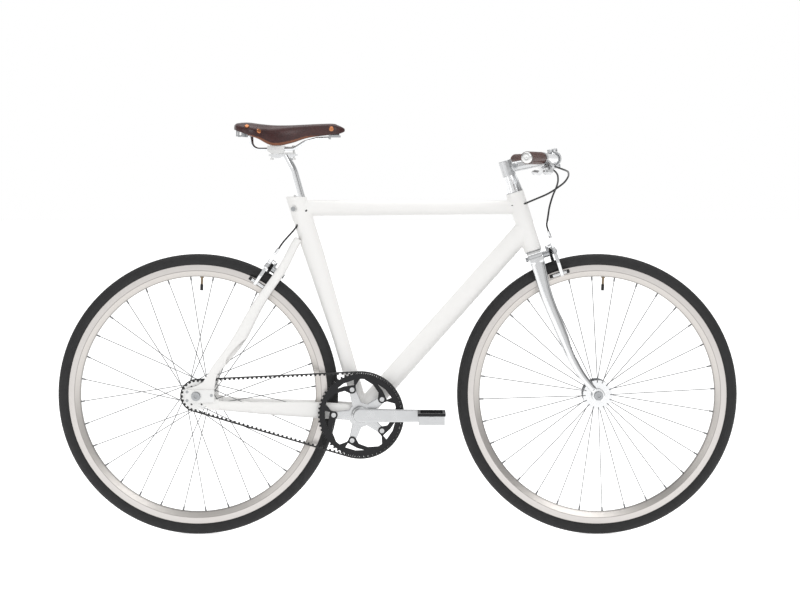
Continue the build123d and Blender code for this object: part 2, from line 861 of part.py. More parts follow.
def crank_spindle():
    """The hollow spindle, and the cap that closes it on the left."""
    right_end = -crank_outer_y + 8.5
    left_end = crank_inner_y + crank_thickness - 1.5
    bar = across(bb_x, bb_z, spindle_r, right_end, left_end)
    bar -= across(bb_x, bb_z, spindle_bore_r, right_end + 4, left_end + 1)
    cap = across(bb_x, bb_z, spindle_r - 0.3, left_end + 0.05, left_end + 1.4)
    cap += across(bb_x, bb_z, spindle_bore_r - 0.05, left_end - 6, left_end + 0.5)
    cap -= Pos(bb_x, left_end - 4, bb_z) * side_plate(RegularPolygon(4.6, 6), 0, 8)
    return [bar, cap]


def sprocket_bolts():
    """Five bolts that hold the sprocket to the spider."""
    bolts = []
    outer = -chainline - sprocket_width / 2
    inner = outer + sprocket_web + 0.1 + spider_thickness
    for i in range(sprocket_tabs):
        x, z = polar(bolt_circle_r, 180 + i * 360 / sprocket_tabs)
        bolt = across(x, z, chainring_bolt_r, outer - 0.5, inner + 0.5)
        bolt += across(x, z, chainring_bolt_head_r, outer - chainring_bolt_head, outer - 0.02)
        bolt += across(x, z, chainring_bolt_head_r, inner + 0.02, inner + 1.4)
        bolt -= Pos(x, outer - chainring_bolt_head - 1, z) * side_plate(RegularPolygon(2.6, 6), 0, 3)
        bolts.append(Pos(bb_x, 0, bb_z) * bolt)
    return bolts


def bottom_bracket_cups():
    """Bearing cups outboard of the shell, each running on the spindle."""
    cups = []
    for side in (1, -1):
        face = side * bb_shell_length / 2
        low, high = sorted((face, face + side * bb_cup_length / 2))
        inner_low, inner_high = sorted((face - side * 14, face))
        cup = across(bb_x, bb_z, bb_cup_r, low + (0.02 if side > 0 else 0), high - (0 if side > 0 else 0.02))
        cup += across(bb_x, bb_z, bb_bore_r - 0.03, inner_low, inner_high + (0.1 if side > 0 else 0))
        cup += across(bb_x, bb_z, bb_bore_r - 0.03, inner_low - (0 if side > 0 else 0.1), inner_high)
        cup -= across(bb_x, bb_z, spindle_r + running_fit, -bb_shell_length, bb_shell_length)
        cups.append(cup)
    return cups


def pedal_axles():
    """Both pedal axles, screwed into the crank ends."""
    axles = []
    for side in (-1, 1):
        x = bb_x - side * crank_length
        inner, outer = crank_inner_y + crank_flare + 1, pedal_inner_y + pedal_width - 10
        axle = across(x, bb_z, pedal_axle_r, inner, outer)
        axle += across(x, bb_z, pedal_axle_r + 2, crank_outer_y + 0.05, crank_outer_y + 3.5)
        axles.append(axle if side > 0 else mirrored(axle))
    return axles


def pedal(side):
    """A pedal: the barrel and beams of its body, and the toothed cage on top."""
    x = bb_x - side * crank_length
    near, far = pedal_inner_y, pedal_inner_y + pedal_width
    low = -pedal_body_height / 2 - pedal_body_drop
    high = low + pedal_body_height
    half = pedal_length / 2 - 2
    body = across(0, 0, pedal_barrel_r, near, far)
    for end in (-1, 1):
        inner, outer = sorted((end * half, end * (half - pedal_beam)))
        body += Pos((inner + outer) / 2, (near + far) / 2, (low + high) / 2) * Box(
            pedal_beam, pedal_width - 6, pedal_body_height, align=MIDDLE)
    for y in (near + 5, far - 5):
        body += Pos(0, y, low) * Box(2 * half, 6, pedal_barrel_r - low, align=BASE)
    body -= across(0, 0, pedal_axle_r + running_fit, near - 1, far - 9.5)
    cage = Box(pedal_length, pedal_width, pedal_cage_height, align=BASE)
    window = (pedal_length - 2 * pedal_cage_rim, pedal_width - 2 * pedal_cage_rim)
    cage -= Pos(0, 0, -1) * Box(*window, pedal_cage_height + 2, align=BASE)
    for end in (-1, 1):
        for i in range(-3, 4):
            notch_z = pedal_cage_height - pedal_tooth
            cage -= Pos(end * pedal_length / 2, i * pedal_tooth_pitch, notch_z) * Box(
                2 * pedal_cage_rim + 1, pedal_tooth_pitch / 2, pedal_tooth + 1, align=BASE)
    cage = Pos(0, (near + far) / 2, pedal_barrel_r + 0.1) * cage
    parts = [body, cage] if side > 0 else [mirrored(body), mirrored(cage)]
    return [Pos(x, 0, bb_z) * piece for piece in parts]


# Frame

head_oval = (17.0, 16.0)
top_tube_seat_oval = (19.6, 17.5)
down_tube_bb_oval = (24.9, 27.0)
down_tube_head_oval = (24.6, 20.0)
seat_stations = [
    # up the tube's axis, in front of it, half depth, half width
    (12.0, 7.0, 15.0, 15.5), (110.0, 4.5, 16.6, 16.6), (seat_top_s - 136.6, -3.9, 24.9, 22.0),
    (seat_top_s + 22.4, -9.0, 24.5, 23.0),
]
chainstay_stations = [
    # share of the way from the rear axle to the cranks, Y, height above that line, half height, half width
    (0.100, 62.5, -17.2, 11.0, 6.0), (0.236, 57.5, -14.8, 12.5, 7.0), (0.424, 46.0, -10.8, 15.5, 8.0),
    (0.625, 32.5, -5.3, 18.5, 7.5), (0.813, 28.4, -0.3, 19.8, 6.6), (0.976, 27.0, 3.4, 20.0, 6.6),
]
seatstay_stations = [
    # share of the way from the rear frame end to the seat tube, Y, distance in front, half depth, half width
    (1.0, 13.0, 0.0, 10.0, 8.5), (0.882, 20.0, 2.5, 10.3, 8.0), (0.761, 27.0, 4.7, 11.0, 7.5),
    (0.592, 33.0, 1.2, 11.8, 7.0), (0.362, 42.0, 4.6, 14.6, 7.0), (0.123, 54.5, -0.2, 12.7, 6.5),
    (0.0, 62.0, 0.0, 10.5, 6.0),
]
seatstay_foot = Vector(rear_x + 34.0, 0, axle_z + 37.5)
seatstay_head = seat(seat_top_s - 99.1, -30.3)
dropout_upper = [
    (-27.0, 15.7), (-23.0, 18.0), (0.0, 24.0), (17.0, 34.0), (24.0, 46.0), (36.0, 58.0), (50.0, 50.0),
    (46.0, 34.0), (44.0, 15.7),
]
dropout_lower = [
    (-14.0, -15.7), (12.0, -17.0), (24.0, -25.0), (33.0, -34.0), (55.0, -34.5), (55.0, -9.0), (44.0, -7.6),
]


def seat_solid(grow=0.0):
    """The seat tube's outside, grown a little where another tube is cut back from it."""
    return oval_loft([(seat(s, f), a + grow, b + grow) for s, f, a, b in seat_stations], ruled=True)


def head_solid(grow=0.0):
    """The head tube's outside."""
    return rod(steer(crown_race_s), steer(head_top_s), head_tube_r + grow)


def shell_solid(grow=0.0):
    """The bottom bracket shell's outside."""
    half = bb_shell_length / 2
    return across(bb_x, bb_z, bb_shell_r + grow, -half, half)


def top_tube_ends():
    """Where the top tube's axis meets the seat tube's and the head tube's."""
    start_s = (top_tube_z - bb_z) / seat_up.Z
    return seat(start_s), steer(top_tube_head_s)


cable_exit_s = seat_top_s - 70.3
cable_entry_s = top_tube_head_s + 4.3
rear_cable_loop = [
    # above the stem's top, in front of the steering axis, Y
    (-63, 126, -95), (-72, 138, -55), (-83, 137, -22), (-95, 124, -8), (-109, 82, -7),
]
front_cable_loop = [
    # the same three for the front cable
    (-70, 120, 90), (-88, 114, 62), (-101, 104, 40), (-116, 89, 22), (-140, 71, 3), (-165, 58, -15),
]


def rear_cable_points():
    """The rear brake cable from the right lever, through the frame, to the rear caliper."""
    lever_end = lever_port(-1)
    out = lever_inboard(-1)
    front = [lever_end + out * cable_end_gap, lever_end + out * 24]
    loop = [steer(stem_top_s + s, f, y) for s, f, y in rear_cable_loop]
    s = cable_entry_s
    head = [steer(s + 2, 34, -9.5), steer(s, 11, -17.15), steer(s + 4, -8, -17.15), steer(s + 8, -34, -7)]
    first, last = head[-1], seat(cable_exit_s + 33, 36, -5)
    inside = []
    for i in range(1, cable_frame_runs):
        share = i / cable_frame_runs
        point = first + (last - first) * share
        inside.append(point - Vector(0, 0, cable_sag * 4 * share * (1 - share)))
    s = cable_exit_s
    rear = [last, seat(s + 35, 13, -12), seat(s + 31, 3, -17.3), seat(s + 18, -9, -18.3), seat(s - 2, -30, -10)]
    port = rear_adjuster_top()
    up = (rear_brake_point(0, -1, 0) - rear_brake_point(0, 0, 0)).normalized()
    end = [port + up * 20, port + up * cable_end_gap]
    return front + loop + head + inside + rear + end


def front_cable_points():
    """The front brake cable from the left lever down to the front caliper."""
    lever_end = lever_port(1)
    out = lever_inboard(1)
    front = [lever_end + out * cable_end_gap, lever_end + out * 26]
    loop = [steer(stem_top_s + s, f, y) for s, f, y in front_cable_loop]
    port = front_adjuster_top()
    end = [port + steer_up * 16, port + steer_up * cable_end_gap]
    return front + loop + end


def cable_path(points):
    """Straight runs joined by the largest arcs that fit, and the arcs' radii."""
    radii = []
    for a, b, c in zip(points, points[1:], points[2:]):
        before, after = b - a, c - b
        turn = math.radians(before.get_angle(after))
        radii.append(0.45 * min(before.length, after.length) / math.tan(turn / 2))
    return FilletPolyline(*points, radius=radii), radii


def cable(points, r):
    """A round cable swept along its path."""
    path, _ = cable_path(points)
    along = points[1] - points[0]
    return sweep(Plane(origin=points[0], z_dir=along) * Circle(r), path=path)


def head_tube(port):
    """The head tube, bored for its bearings and open where the cable passes."""
    body = head_solid() - rod(steer(crown_race_s - 1), steer(head_top_s + 1), head_bore_r)
    return body - port


def seat_tube(port):
    """The seat tube with its post bore, binder slot and cable channel."""
    body = seat_solid()
    body -= Pos(seat(seat_top_s)) * Box(200, 100, 60, align=BASE)
    body -= rod(seat(seat_top_s - seat_bore_depth), seat(seat_top_s + 30), seat_bore_r)
    body -= rod(seat(40, 6.4), seat(seat_top_s - seat_bore_depth - 6, -3.5), 13.0, 19.0)
    body -= shell_solid(weld_gap)
    bolt = binder_centre()
    slot = Box(36, binder_slot, binder_slot_depth + 20, align=(Align.MAX, Align.CENTER, Align.MAX))
    place = Plane(origin=seat(seat_top_s + 20, -10), x_dir=(seat(0, 1) - seat(0)), z_dir=seat_up)
    body -= place * slot
    body -= across(bolt.X, bolt.Z, binder_r + 0.3, -40, 40)
    for side in (1, -1):
        low, high = sorted((side * binder_half_length, side * 40))
        body -= across(bolt.X, bolt.Z, binder_seat_r, low, high)
    return body - port


def binder_centre():
    """Where the bolt that pinches the seat tube crosses the middle plane."""
    return seat(seat_top_s - binder_drop, binder_f)


def top_tube(port):
    """The top tube, mitred to its neighbours and open where the cable enters and leaves."""
    start, end = top_tube_ends()
    body = hollow_tube(start, end, top_tube_seat_oval, head_oval)
    return body - seat_solid(weld_gap) - head_solid(weld_gap) - port


def down_tube():
    """The down tube, without the slivers that its cuts leave inside its neighbours."""
    end = steer(crown_race_s + down_tube_from_race)
    body = hollow_tube(Vector(bb_x, 0, bb_z), end, down_tube_bb_oval, down_tube_head_oval)
    body -= [head_solid(weld_gap), shell_solid(weld_gap), seat_solid(weld_gap), top_tube_solid()]
    return max(body.solids(), key=lambda solid: solid.volume)


def top_tube_solid():
    """The top tube's outside, grown by the weld gap, which the down tube is cut back from."""
    start, end = top_tube_ends()
    sizes = [[size + weld_gap for size in oval_size] for oval_size in (top_tube_seat_oval, head_oval)]
    return oval_loft([(start, *sizes[0]), (end, *sizes[1])], ruled=True)


def bottom_bracket_shell():
    """The ring that the spindle's bearings sit in."""
    return shell_solid() - across(bb_x, bb_z, bb_bore_r, -40, 40)


def hollow_stay(line, solid_end):
    """A stay with a wall, left solid over one station at the rear frame end."""
    inner = [(centre, a - stay_wall, b - stay_wall) for centre, a, b in line]
    return oval_loft(line) - oval_loft(inner[1:] if solid_end == 0 else inner[:-1])


def chainstays():
    """Both chainstays, cut round the bottom bracket and the rear frame ends."""
    axle, cranks = Vector(rear_x, 0, axle_z), Vector(bb_x, 0, bb_z)
    line = []
    for share, y, above, a, b in chainstay_stations:
        line.append((axle + (cranks - axle) * share + Vector(0, y, above), a, b))
    stay = hollow_stay(line, 0) - shell_solid(weld_gap) - seat_solid(weld_gap)
    stay -= across(bb_x, bb_z, bb_cup_r + 0.5, bb_shell_length / 2 - 0.1, bb_shell_length)
    return pair(stay - dropout_room(dropout_lower))


def seatstay_point(share, forward, y):
    """A point along the seatstays' line from the rear frame end to the seat tube."""
    along = seatstay_head - seatstay_foot
    ahead = along.cross(Vector(0, 1, 0)).normalized() * -1
    return seatstay_foot + along * share + ahead * forward + Vector(0, y, 0)


def seatstays():
    """Both seatstays, cut at the seat tube and the rear frame ends."""
    line = [(seatstay_point(share, forward, y), a, b) for share, y, forward, a, b in seatstay_stations]
    stay = hollow_stay(line, -1) - seat_solid(weld_gap)
    return pair(stay - dropout_room(dropout_upper))


def dropout_room(corners):
    """The space round an axle lug that its stay is cut back from."""
    outer = rear_hub_width / 2 + dropout_thickness
    return side_plate(Pos(rear_x, axle_z) * outline(*corners), outer - 26, outer + axle_plate_thickness + 10)


def rear_dropouts():
    """The right end is split for the belt, and the left one is whole."""
    inner = rear_hub_width / 2
    place = Pos(rear_x, axle_z)
    upper = outline(*dropout_upper, (44.0, -frame_split_drop), (dropout_slot_front, -frame_split_drop),
                    (dropout_slot_front, 5.4), (-27.0, 5.4))
    lower = outline(*dropout_lower, (44.0, -frame_split_drop - frame_split),
                    (-14.0, -frame_split_drop - frame_split))
    upper_right = mirrored(side_plate(place * upper, inner, inner + dropout_thickness))
    lower_right = mirrored(side_plate(place * lower, inner, inner + dropout_thickness))
    joint = outline((dropout_slot_front, 0), (44, 0), (44, -12), (dropout_slot_front, -12))
    left = side_plate(place * (upper + lower + joint), inner, inner + dropout_thickness)
    holes = []
    for x, z in screw_places():
        holes.append(across(rear_x + x, axle_z + z, screw_r + 0.1, -90, 90))
    return [upper_right - holes, lower_right - holes, left - holes]


def screw_places():
    """The plates' screws, as X and Z from the rear axle."""
    return [(-21.5, 10.5), (-21.5, -10.5), (37.5, 2.0)]


def axle_plates():
    """The bright plates that carry the axle and bridge the split."""
    inner = rear_hub_width / 2 + dropout_thickness + 0.05
    length = axle_plate_back + axle_plate_front
    flat = Pos((axle_plate_front - axle_plate_back) / 2, 0) * RectangleRounded(
        length, 2 * axle_plate_half_height, 4)
    body = side_plate(Pos(rear_x, axle_z) * flat, inner, inner + axle_plate_thickness)
    slot = Pos(rear_x - 2, 0, axle_z) * side_plate(SlotOverall(18, 2 * rear_axle_r + 0.6), 0, 90)
    body -= slot
    for x, z in screw_places():
        body -= across(rear_x + x, axle_z + z, screw_r + 0.1, 0, 90)
    return pair(body)


def frame_screws():
    """The plates' screws, and the bolt that pinches the seat tube on the post."""
    inner = rear_hub_width / 2 + 1
    outer = rear_hub_width / 2 + dropout_thickness + 0.05 + axle_plate_thickness
    screws = []
    for x, z in screw_places():
        screw = across(rear_x + x, axle_z + z, screw_r, inner, outer)
        screw += across(rear_x + x, axle_z + z, screw_head_r, outer + 0.02, outer + screw_head)
        screw += across(rear_x + x, axle_z + z, screw_r, outer - 1, outer + 0.5)
        socket = side_plate(RegularPolygon(1.6, 6), 0, 3)
        screw -= Pos(rear_x + x, outer + screw_head - 0.8, axle_z + z) * socket
        screws += pair(screw)
    at = binder_centre()
    bolt = across(at.X, at.Z, binder_r, -binder_half_length - 1, binder_half_length + 1)
    bolt += across(at.X, at.Z, binder_head_r, -binder_half_length - 4, -binder_half_length - 0.05)
    bolt += across(at.X, at.Z, binder_head_r, binder_half_length + 0.05, binder_half_length + 4)
    bolt -= Pos(at.X, -binder_half_length - 5, at.Z) * side_plate(RegularPolygon(3.2, 6), 0, 3.5)
    return [*screws, bolt]


def seatstay_bridge(stays):
    """The tube between the seatstays that the rear brake bolts to."""
    at = rear_brake_point(0, 0, 0)
    bridge = across(at.X, at.Z, bridge_r, -30, 30)
    bridge -= stays
    return bridge - rod(rear_brake_point(0, 0, -20), rear_brake_point(0, 0, 20), brake_bolt_r + 0.1)


def headset_bearings():
    """A bearing ring at each end of the head tube, running on the steerer."""
    rings = []
    for s, inward in ((crown_race_s, 1), (head_top_s, -1)):
        low = s - inward * (crown_gap - 0.35)
        ring = rod(steer(s + inward * 0.02), steer(s + inward * head_bearing_height), head_bore_r - 0.03)
        ring += rod(steer(low), steer(s - inward * 0.02), head_tube_r - head_bearing_flange)
        ring += rod(steer(low), steer(s + inward), head_bore_r - 0.03)
        ring -= rod(steer(crown_race_s - 5), steer(head_top_s + 5), steerer_r + running_fit)
        rings.append(ring)
    return rings


# Steering assembly

def fork_crown():
    """The crown over the wheel and the steerer tube above it."""
    top = crown_race_s - crown_gap
    bottom = top - crown_height
    arch = bottom + crown_arch_rise
    edges = [
        Line((-crown_half_width, bottom), (-crown_half_width, bottom + 12)),
        ThreePointArc((-crown_half_width, bottom + 12), (-34.0, top - 5.5), (-crown_top_half_width, top)),
        Line((-crown_top_half_width, top), (crown_top_half_width, top)),
        ThreePointArc((crown_top_half_width, top), (34.0, top - 5.5), (crown_half_width, bottom + 12)),
        Line((crown_half_width, bottom + 12), (crown_half_width, bottom)),
        Line((crown_half_width, bottom), (crown_arch_half_width, bottom)),
        ThreePointArc((crown_arch_half_width, bottom), (0, arch), (-crown_arch_half_width, bottom)),
        Line((-crown_arch_half_width, bottom), (-crown_half_width, bottom)),
    ]
    place = Plane(origin=steer(0, -crown_half_depth), x_dir=(0, 1, 0), z_dir=steer_forward)
    if place.y_dir.Z < 0:
        place = Plane(origin=steer(0, crown_half_depth), x_dir=(0, 1, 0), z_dir=steer_forward * -1)
    body = extrude(place * make_face(edges), amount=2 * crown_half_depth)
    body += rod(steer(top - 2), steer(stem_top_s - 3), steerer_r)
    body -= rod(steer(top - 8), steer(stem_top_s + 5), steerer_bore_r)
    body -= rod(steer(front_brake_bolt_s, -30), steer(front_brake_bolt_s, 30), brake_bolt_r + 0.1)
    return body


blade_stations = [
    # share of the way up to the crown race, share of the rake, Y, half depth, half width
    (0.938, 0.0, 32.3, 17.6, 8.3), (0.786, -0.046, 35.5, 15.5, 9.5), (0.676, -0.058, 37.5, 14.5, 9.5),
    (0.469, 0.092, 42.0, 13.0, 8.5), (0.223, 0.311, 47.5, 10.0, 6.8), (0.073, 0.737, 51.5, 8.2, 5.0),
    (0.016, 0.949, 52.5, 7.6, 4.4),
]


def fork_blades():
    """The two blades, each with a slotted tip that holds the axle."""
    line = [(steer(up * crown_race_s, rake * fork_rake, y), a, b) for up, rake, y, a, b in blade_stations]
    inner = [(centre, a - blade_wall, b - blade_wall) for centre, a, b in line[:blade_hollow_stations]]
    blade = oval_loft(line) - oval_loft(inner)
    crown_bottom = crown_race_s - crown_gap - crown_height
    over = Plane(origin=steer(crown_bottom - weld_gap / 2), x_dir=steer_forward, z_dir=steer_up)
    blade -= over * Box(90, 140, 60, align=BASE)
    inner = front_hub_width / 2
    outer = inner + fork_tip
    tip = across(front_x, axle_z, fork_tip_r, inner, outer)
    blade -= across(front_x, axle_z, fork_tip_r + 3, inner - 20, inner)
    blade -= across(front_x, axle_z, fork_tip_r + 3, outer, outer + 20)
    blade += tip
    blade -= across(front_x, axle_z, front_axle_r + 0.15, inner - 1, outer + 1)
    slot = Box(2 * front_axle_r + 0.3, fork_tip + 2, 40, align=(Align.CENTER, Align.CENTER, Align.MAX))
    blade -= Pos(front_x, inner + fork_tip / 2, axle_z) * slot
    return pair(blade)


def headset_cone():
    """The tapered cover between the upper bearing and the stem."""
    base, top = head_top_s + crown_gap, cone_top_s - 0.05
    body = rod(steer(base), steer(top), cone_base_r, cone_top_r)
    return body - rod(steer(base - 1), steer(top + 1), steerer_r + 0.1)


def bar_centre():
    """Where the handlebar's axis crosses the middle plane."""
    return steer((cone_top_s + stem_top_s) / 2 - stem_drop, stem_length)


def stem_forward():
    """The direction of the stem's arm."""
    return (bar_centre() - steer((cone_top_s + stem_top_s) / 2)).normalized()


def ear_rod(up, y, back, front, r):
    """A bar along the stem's arm through one corner of the bar clamp."""
    forward = stem_forward()
    lift = forward.cross(Vector(0, 1, 0)) * -1
    at = bar_centre() + lift * up + Vector(0, y, 0)
    return rod(at + forward * back, at + forward * front, r)


def pinch_centre():
    """Where the bolt that pinches the stem's sleeve crosses the middle plane."""
    return steer((cone_top_s + stem_top_s) / 2, stem_sleeve_r + 3)


def stem():
    """The stem: a split sleeve on the steerer, an arm, and the bar clamp."""
    low, high = cone_top_s, stem_top_s
    middle = steer((low + high) / 2)
    bar = bar_centre()
    body = rod(steer(low), steer(high), stem_sleeve_r)
    arm = oval_loft([(middle, stem_arm_half_height, stem_arm_half_width),
                     (bar, stem_arm_half_height - 1, stem_arm_half_width - 1)], ruled=True)
    body += arm
    body += across(bar.X, bar.Z, stem_clamp_r, -stem_clamp_width / 2, stem_clamp_width / 2)
    ear_at = pinch_centre()
    body += across(ear_at.X, ear_at.Z, pinch_ear_r, -pinch_ear_half, pinch_ear_half)
    body -= rod(steer(low - 1), steer(high + 1), steerer_r + 0.05)
    for up in (-stem_ear_up, stem_ear_up):
        for y in (-stem_ear_y, stem_ear_y):
            body += ear_rod(up, y, -9, stem_ear_reach, stem_ear_r)
    body -= across(bar.X, bar.Z, bar_clamp_r + 0.05, -40, 40)
    for up in (-stem_ear_up, stem_ear_up):
        for y in (-stem_ear_y, stem_ear_y):
            body -= ear_rod(up, y, -30, 40, stem_ear_bolt_r + 0.2)
    forward = stem_forward()
    split = Box(stem_clamp_split, 60, 60, align=MIDDLE)
    body -= Plane(origin=bar + forward * 2, x_dir=forward, z_dir=forward.cross(Vector(0, 1, 0))) * split
    back_slit = Box(8, stem_slit, stem_sleeve_height + 4, align=MIDDLE)
    back = steer((low + high) / 2, -stem_sleeve_r)
    body -= Plane(origin=back, x_dir=steer_forward, z_dir=steer_up) * back_slit
    body -= across(ear_at.X, ear_at.Z, pinch_bolt_r + 0.1, -20, 20)
    cap_top = stem_top_s - 0.4
    cap = rod(steer(cap_top - steerer_cap), steer(cap_top), steerer_r - 0.05)
    return list(body.solids()) + [cap]


def stem_bolts():
    """The sleeve's pinch bolt and the four bolts of the bar clamp."""
    at = pinch_centre()
    face = pinch_ear_half + 0.05
    bolt = across(at.X, at.Z, pinch_bolt_r, -face - 0.5, face + 0.5)
    bolt += across(at.X, at.Z, pinch_head_r, -face - pinch_head, -face)
    bolt += across(at.X, at.Z, pinch_head_r, face, face + pinch_head - 1)
    socket = side_plate(RegularPolygon(pinch_socket_r, 6), 0, 3)
    bolt -= Pos(at.X, -face - pinch_head - 1, at.Z) * socket
    bolts = [bolt]
    for up in (-stem_ear_up, stem_ear_up):
        for y in (-stem_ear_y, stem_ear_y):
            clamp_bolt = ear_rod(up, y, -7, stem_ear_reach + 1, stem_ear_bolt_r)
            clamp_bolt += ear_rod(up, y, stem_ear_reach + 0.05, stem_ear_reach + 3, stem_ear_head_r)
            bolts.append(clamp_bolt)
    return bolts


def bar_points():
    """The handlebar's centre line: a straight middle and two ends swept back."""
    centre = bar_centre()
    c, s = turned(bar_back_sweep)
    back = (bar_half_width - bar_straight) * s / c
    end = Vector(centre.X - back, bar_half_width, centre.Z)
    bend = Vector(centre.X, bar_straight, centre.Z)
    return centre, bend, end


def bar_at(distance_y):
    """A point on the left half of the bar at a sideways distance."""
    _, bend, end = bar_points()
    share = (distance_y - bend.Y) / (end.Y - bend.Y)
    return bend + (end - bend) * share


def handlebar():
    """The bar, thicker where the stem holds it."""
    centre, bend, end = bar_points()
    full = [Vector(end.X, -end.Y, end.Z), Vector(bend.X, -bend.Y, bend.Z), bend, end]
    path = FilletPolyline(*full, radius=bar_bend_r)
    along = full[1] - full[0]
    place = Plane(origin=full[0], z_dir=along)
    body = sweep(place * Circle(bar_r), path=path)
    half = stem_clamp_width / 2 + bar_clamp_overhang
    thick = half - bar_taper
    body += across(centre.X, centre.Z, bar_clamp_r, -thick, thick)
    for side in (1, -1):
        start = (centre.X, side * thick, centre.Z)
        body += rod(start, (centre.X, side * half, centre.Z), bar_clamp_r, bar_r)
    return body - sweep(place * Circle(bar_r - bar_wall), path=path)


def bar_direction():
    """The direction of the bar's left half, outward."""
    _, bend, end = bar_points()
    return (end - bend).normalized()


def grips():
    """A leather grip on each end of the bar, with its clamping collar."""
    out = bar_direction()
    _, _, end = bar_points()
    start = end - out * grip_length
    body = rod(start, end, grip_r) - rod(start - out, end + out, bar_r + 0.05)
    return pair(body)


def bar_end_plugs():
    """The domed plugs that close the bar's ends."""
    out = bar_direction()
    _, _, end = bar_points()
    plug = rod(end + out * 0.05, end + out * plug_height, plug_r)
    plug += rod(end - out * plug_stub, end + out, plug_stub_r)
    plug -= rod(end + out * (plug_height - plug_dimple), end + out * (plug_height + 1), plug_dimple_r)
    return pair(plug)


def lever_axes(side):
    """The bar's outboard direction, the direction to the lever, and the pivot's direction."""
    c, s = turned(bar_back_sweep)
    dc, ds = turned(lever_drop_angle)
    outboard = Vector(-s, side * c, 0)
    toward = Vector(c * dc, side * s * dc, -ds)
    return outboard, toward, outboard.cross(toward)


def lever_origin(side):
    """Where the bar's axis crosses the middle of the lever's band."""
    grip_start = bar_half_width - grip_length * turned(bar_back_sweep)[0]
    at = bar_at(grip_start - lever_setback)
    return Vector(at.X, side * at.Y, at.Z)


def lever_plane(side):
    """The lever's own plane: X outboard, Y toward the pivot."""
    outboard, _, pin = lever_axes(side)
    return Plane(origin=lever_origin(side), x_dir=outboard, z_dir=pin)


def lever_inboard(side):
    """The direction in which the cable leaves the lever."""
    return lever_axes(side)[0] * -1


def lever_port(side):
    """Where the cable leaves the lever bracket's barrel."""
    outboard, toward, _ = lever_axes(side)
    inboard = lever_clamp_width / 2 + lever_barrel_length
    return lever_origin(side) + toward * lever_pivot_reach - outboard * inboard


def lever_clamps():
    """The bracket of each lever: a band on the bar, two ears, the cable barrel and the pivot pin."""
    pieces = []
    for side in (-1, 1):
        plane = lever_plane(side)
        outboard, toward, pin = lever_axes(side)
        at = lever_origin(side)
        half = lever_clamp_width / 2
        band = rod(at - outboard * half, at + outboard * half, lever_clamp_r)
        gap = lever_tongue / 2 + lever_side_gap
        ear_line = [(0, lever_clamp_r - 3), (lever_pivot_out, lever_pivot_reach)]
        for low, high in ((gap, gap + lever_ear), (-gap - lever_ear, -gap)):
            band += plane * link(ear_line, lever_ear_r, low, high)
        root_line = [(-5.0, lever_clamp_r - 2), (-half - 2, lever_pivot_reach)]
        band += plane * link(root_line, lever_barrel_r, -gap - lever_ear, gap + lever_ear)
        barrel_start = at + toward * lever_pivot_reach - outboard * (half + 1)
        band += rod(barrel_start, lever_port(side), lever_barrel_r)
        band -= rod(at - outboard * 30, at + outboard * 30, bar_r + 0.05)
        centre = at + outboard * lever_pivot_out + toward * lever_pivot_reach
        reach = pin * (gap + lever_ear + 1.2)
        band -= rod(centre - reach, centre + reach, lever_pin_r + 0.02)
        room = Cylinder(lever_ear_r + 3.4, 2 * gap, align=BASE)
        band -= plane * (Pos(lever_pivot_out, lever_pivot_reach, -gap) * room)
        short = pin * (gap + lever_ear)
        pieces += [band, rod(centre - short, centre + short, lever_pin_r)]
    return pieces


def brake_lever(side):
    """A lever blade on its pivot, curving out in front of the grip."""
    x, y = lever_pivot_out, lever_pivot_reach
    half = lever_tongue / 2
    tip = x + lever_length
    curve = [(x, y), (x + 20, y + 13), (x + 52, y + 21), (tip - 12, y + 18), (tip, y + 20)]
    blade = link(curve, lever_half_height, -half, half)
    blade += Pos(x, y, -half) * Cylinder(lever_ear_r, lever_tongue, align=BASE)
    blade += Pos(tip, y + 20, 0) * Sphere(lever_tip_r)
    blade -= Pos(x, y, -half - 1) * Cylinder(lever_pin_r + 0.06, lever_tongue + 2, align=BASE)
    return lever_plane(side) * blade


# Brakes

def front_brake_point(u, v, w):
    """A point of the front caliper: u sideways, v down from its bolt, w forward."""
    return steer(front_brake_bolt_s - v, w, u)


def brake_crossing():
    """Where the middle of the seatstays passes the rear brake's distance from the axle."""
    low, high = 0.0, 1.0
    axle = Vector(rear_x, 0, axle_z)
    for _ in range(40):
        middle = (low + high) / 2
        if (seatstay_point(middle, brake_line_forward, 0) - axle).length < rear_brake_radius:
            low = middle
        else:
            high = middle
    return seatstay_point(low, brake_line_forward, 0)


def rear_brake_point(u, v, w):
    """A point of the rear caliper: u sideways, v toward the axle, w backward."""
    out = (brake_crossing() - Vector(rear_x, 0, axle_z)).normalized()
    back = Vector(0, 1, 0).cross(out) * -1
    return Vector(rear_x, u, axle_z) + out * (rear_brake_radius - v) + back * w


def brake_place(point):
    """The plane of a caliper: local X along Y, local Y toward the axle, and the height along its bolt."""
    origin = point(0, 0, 0)
    out = (point(0, 0, 1) - origin).normalized()
    return Plane(origin=origin, x_dir=(0, 1, 0), z_dir=out)


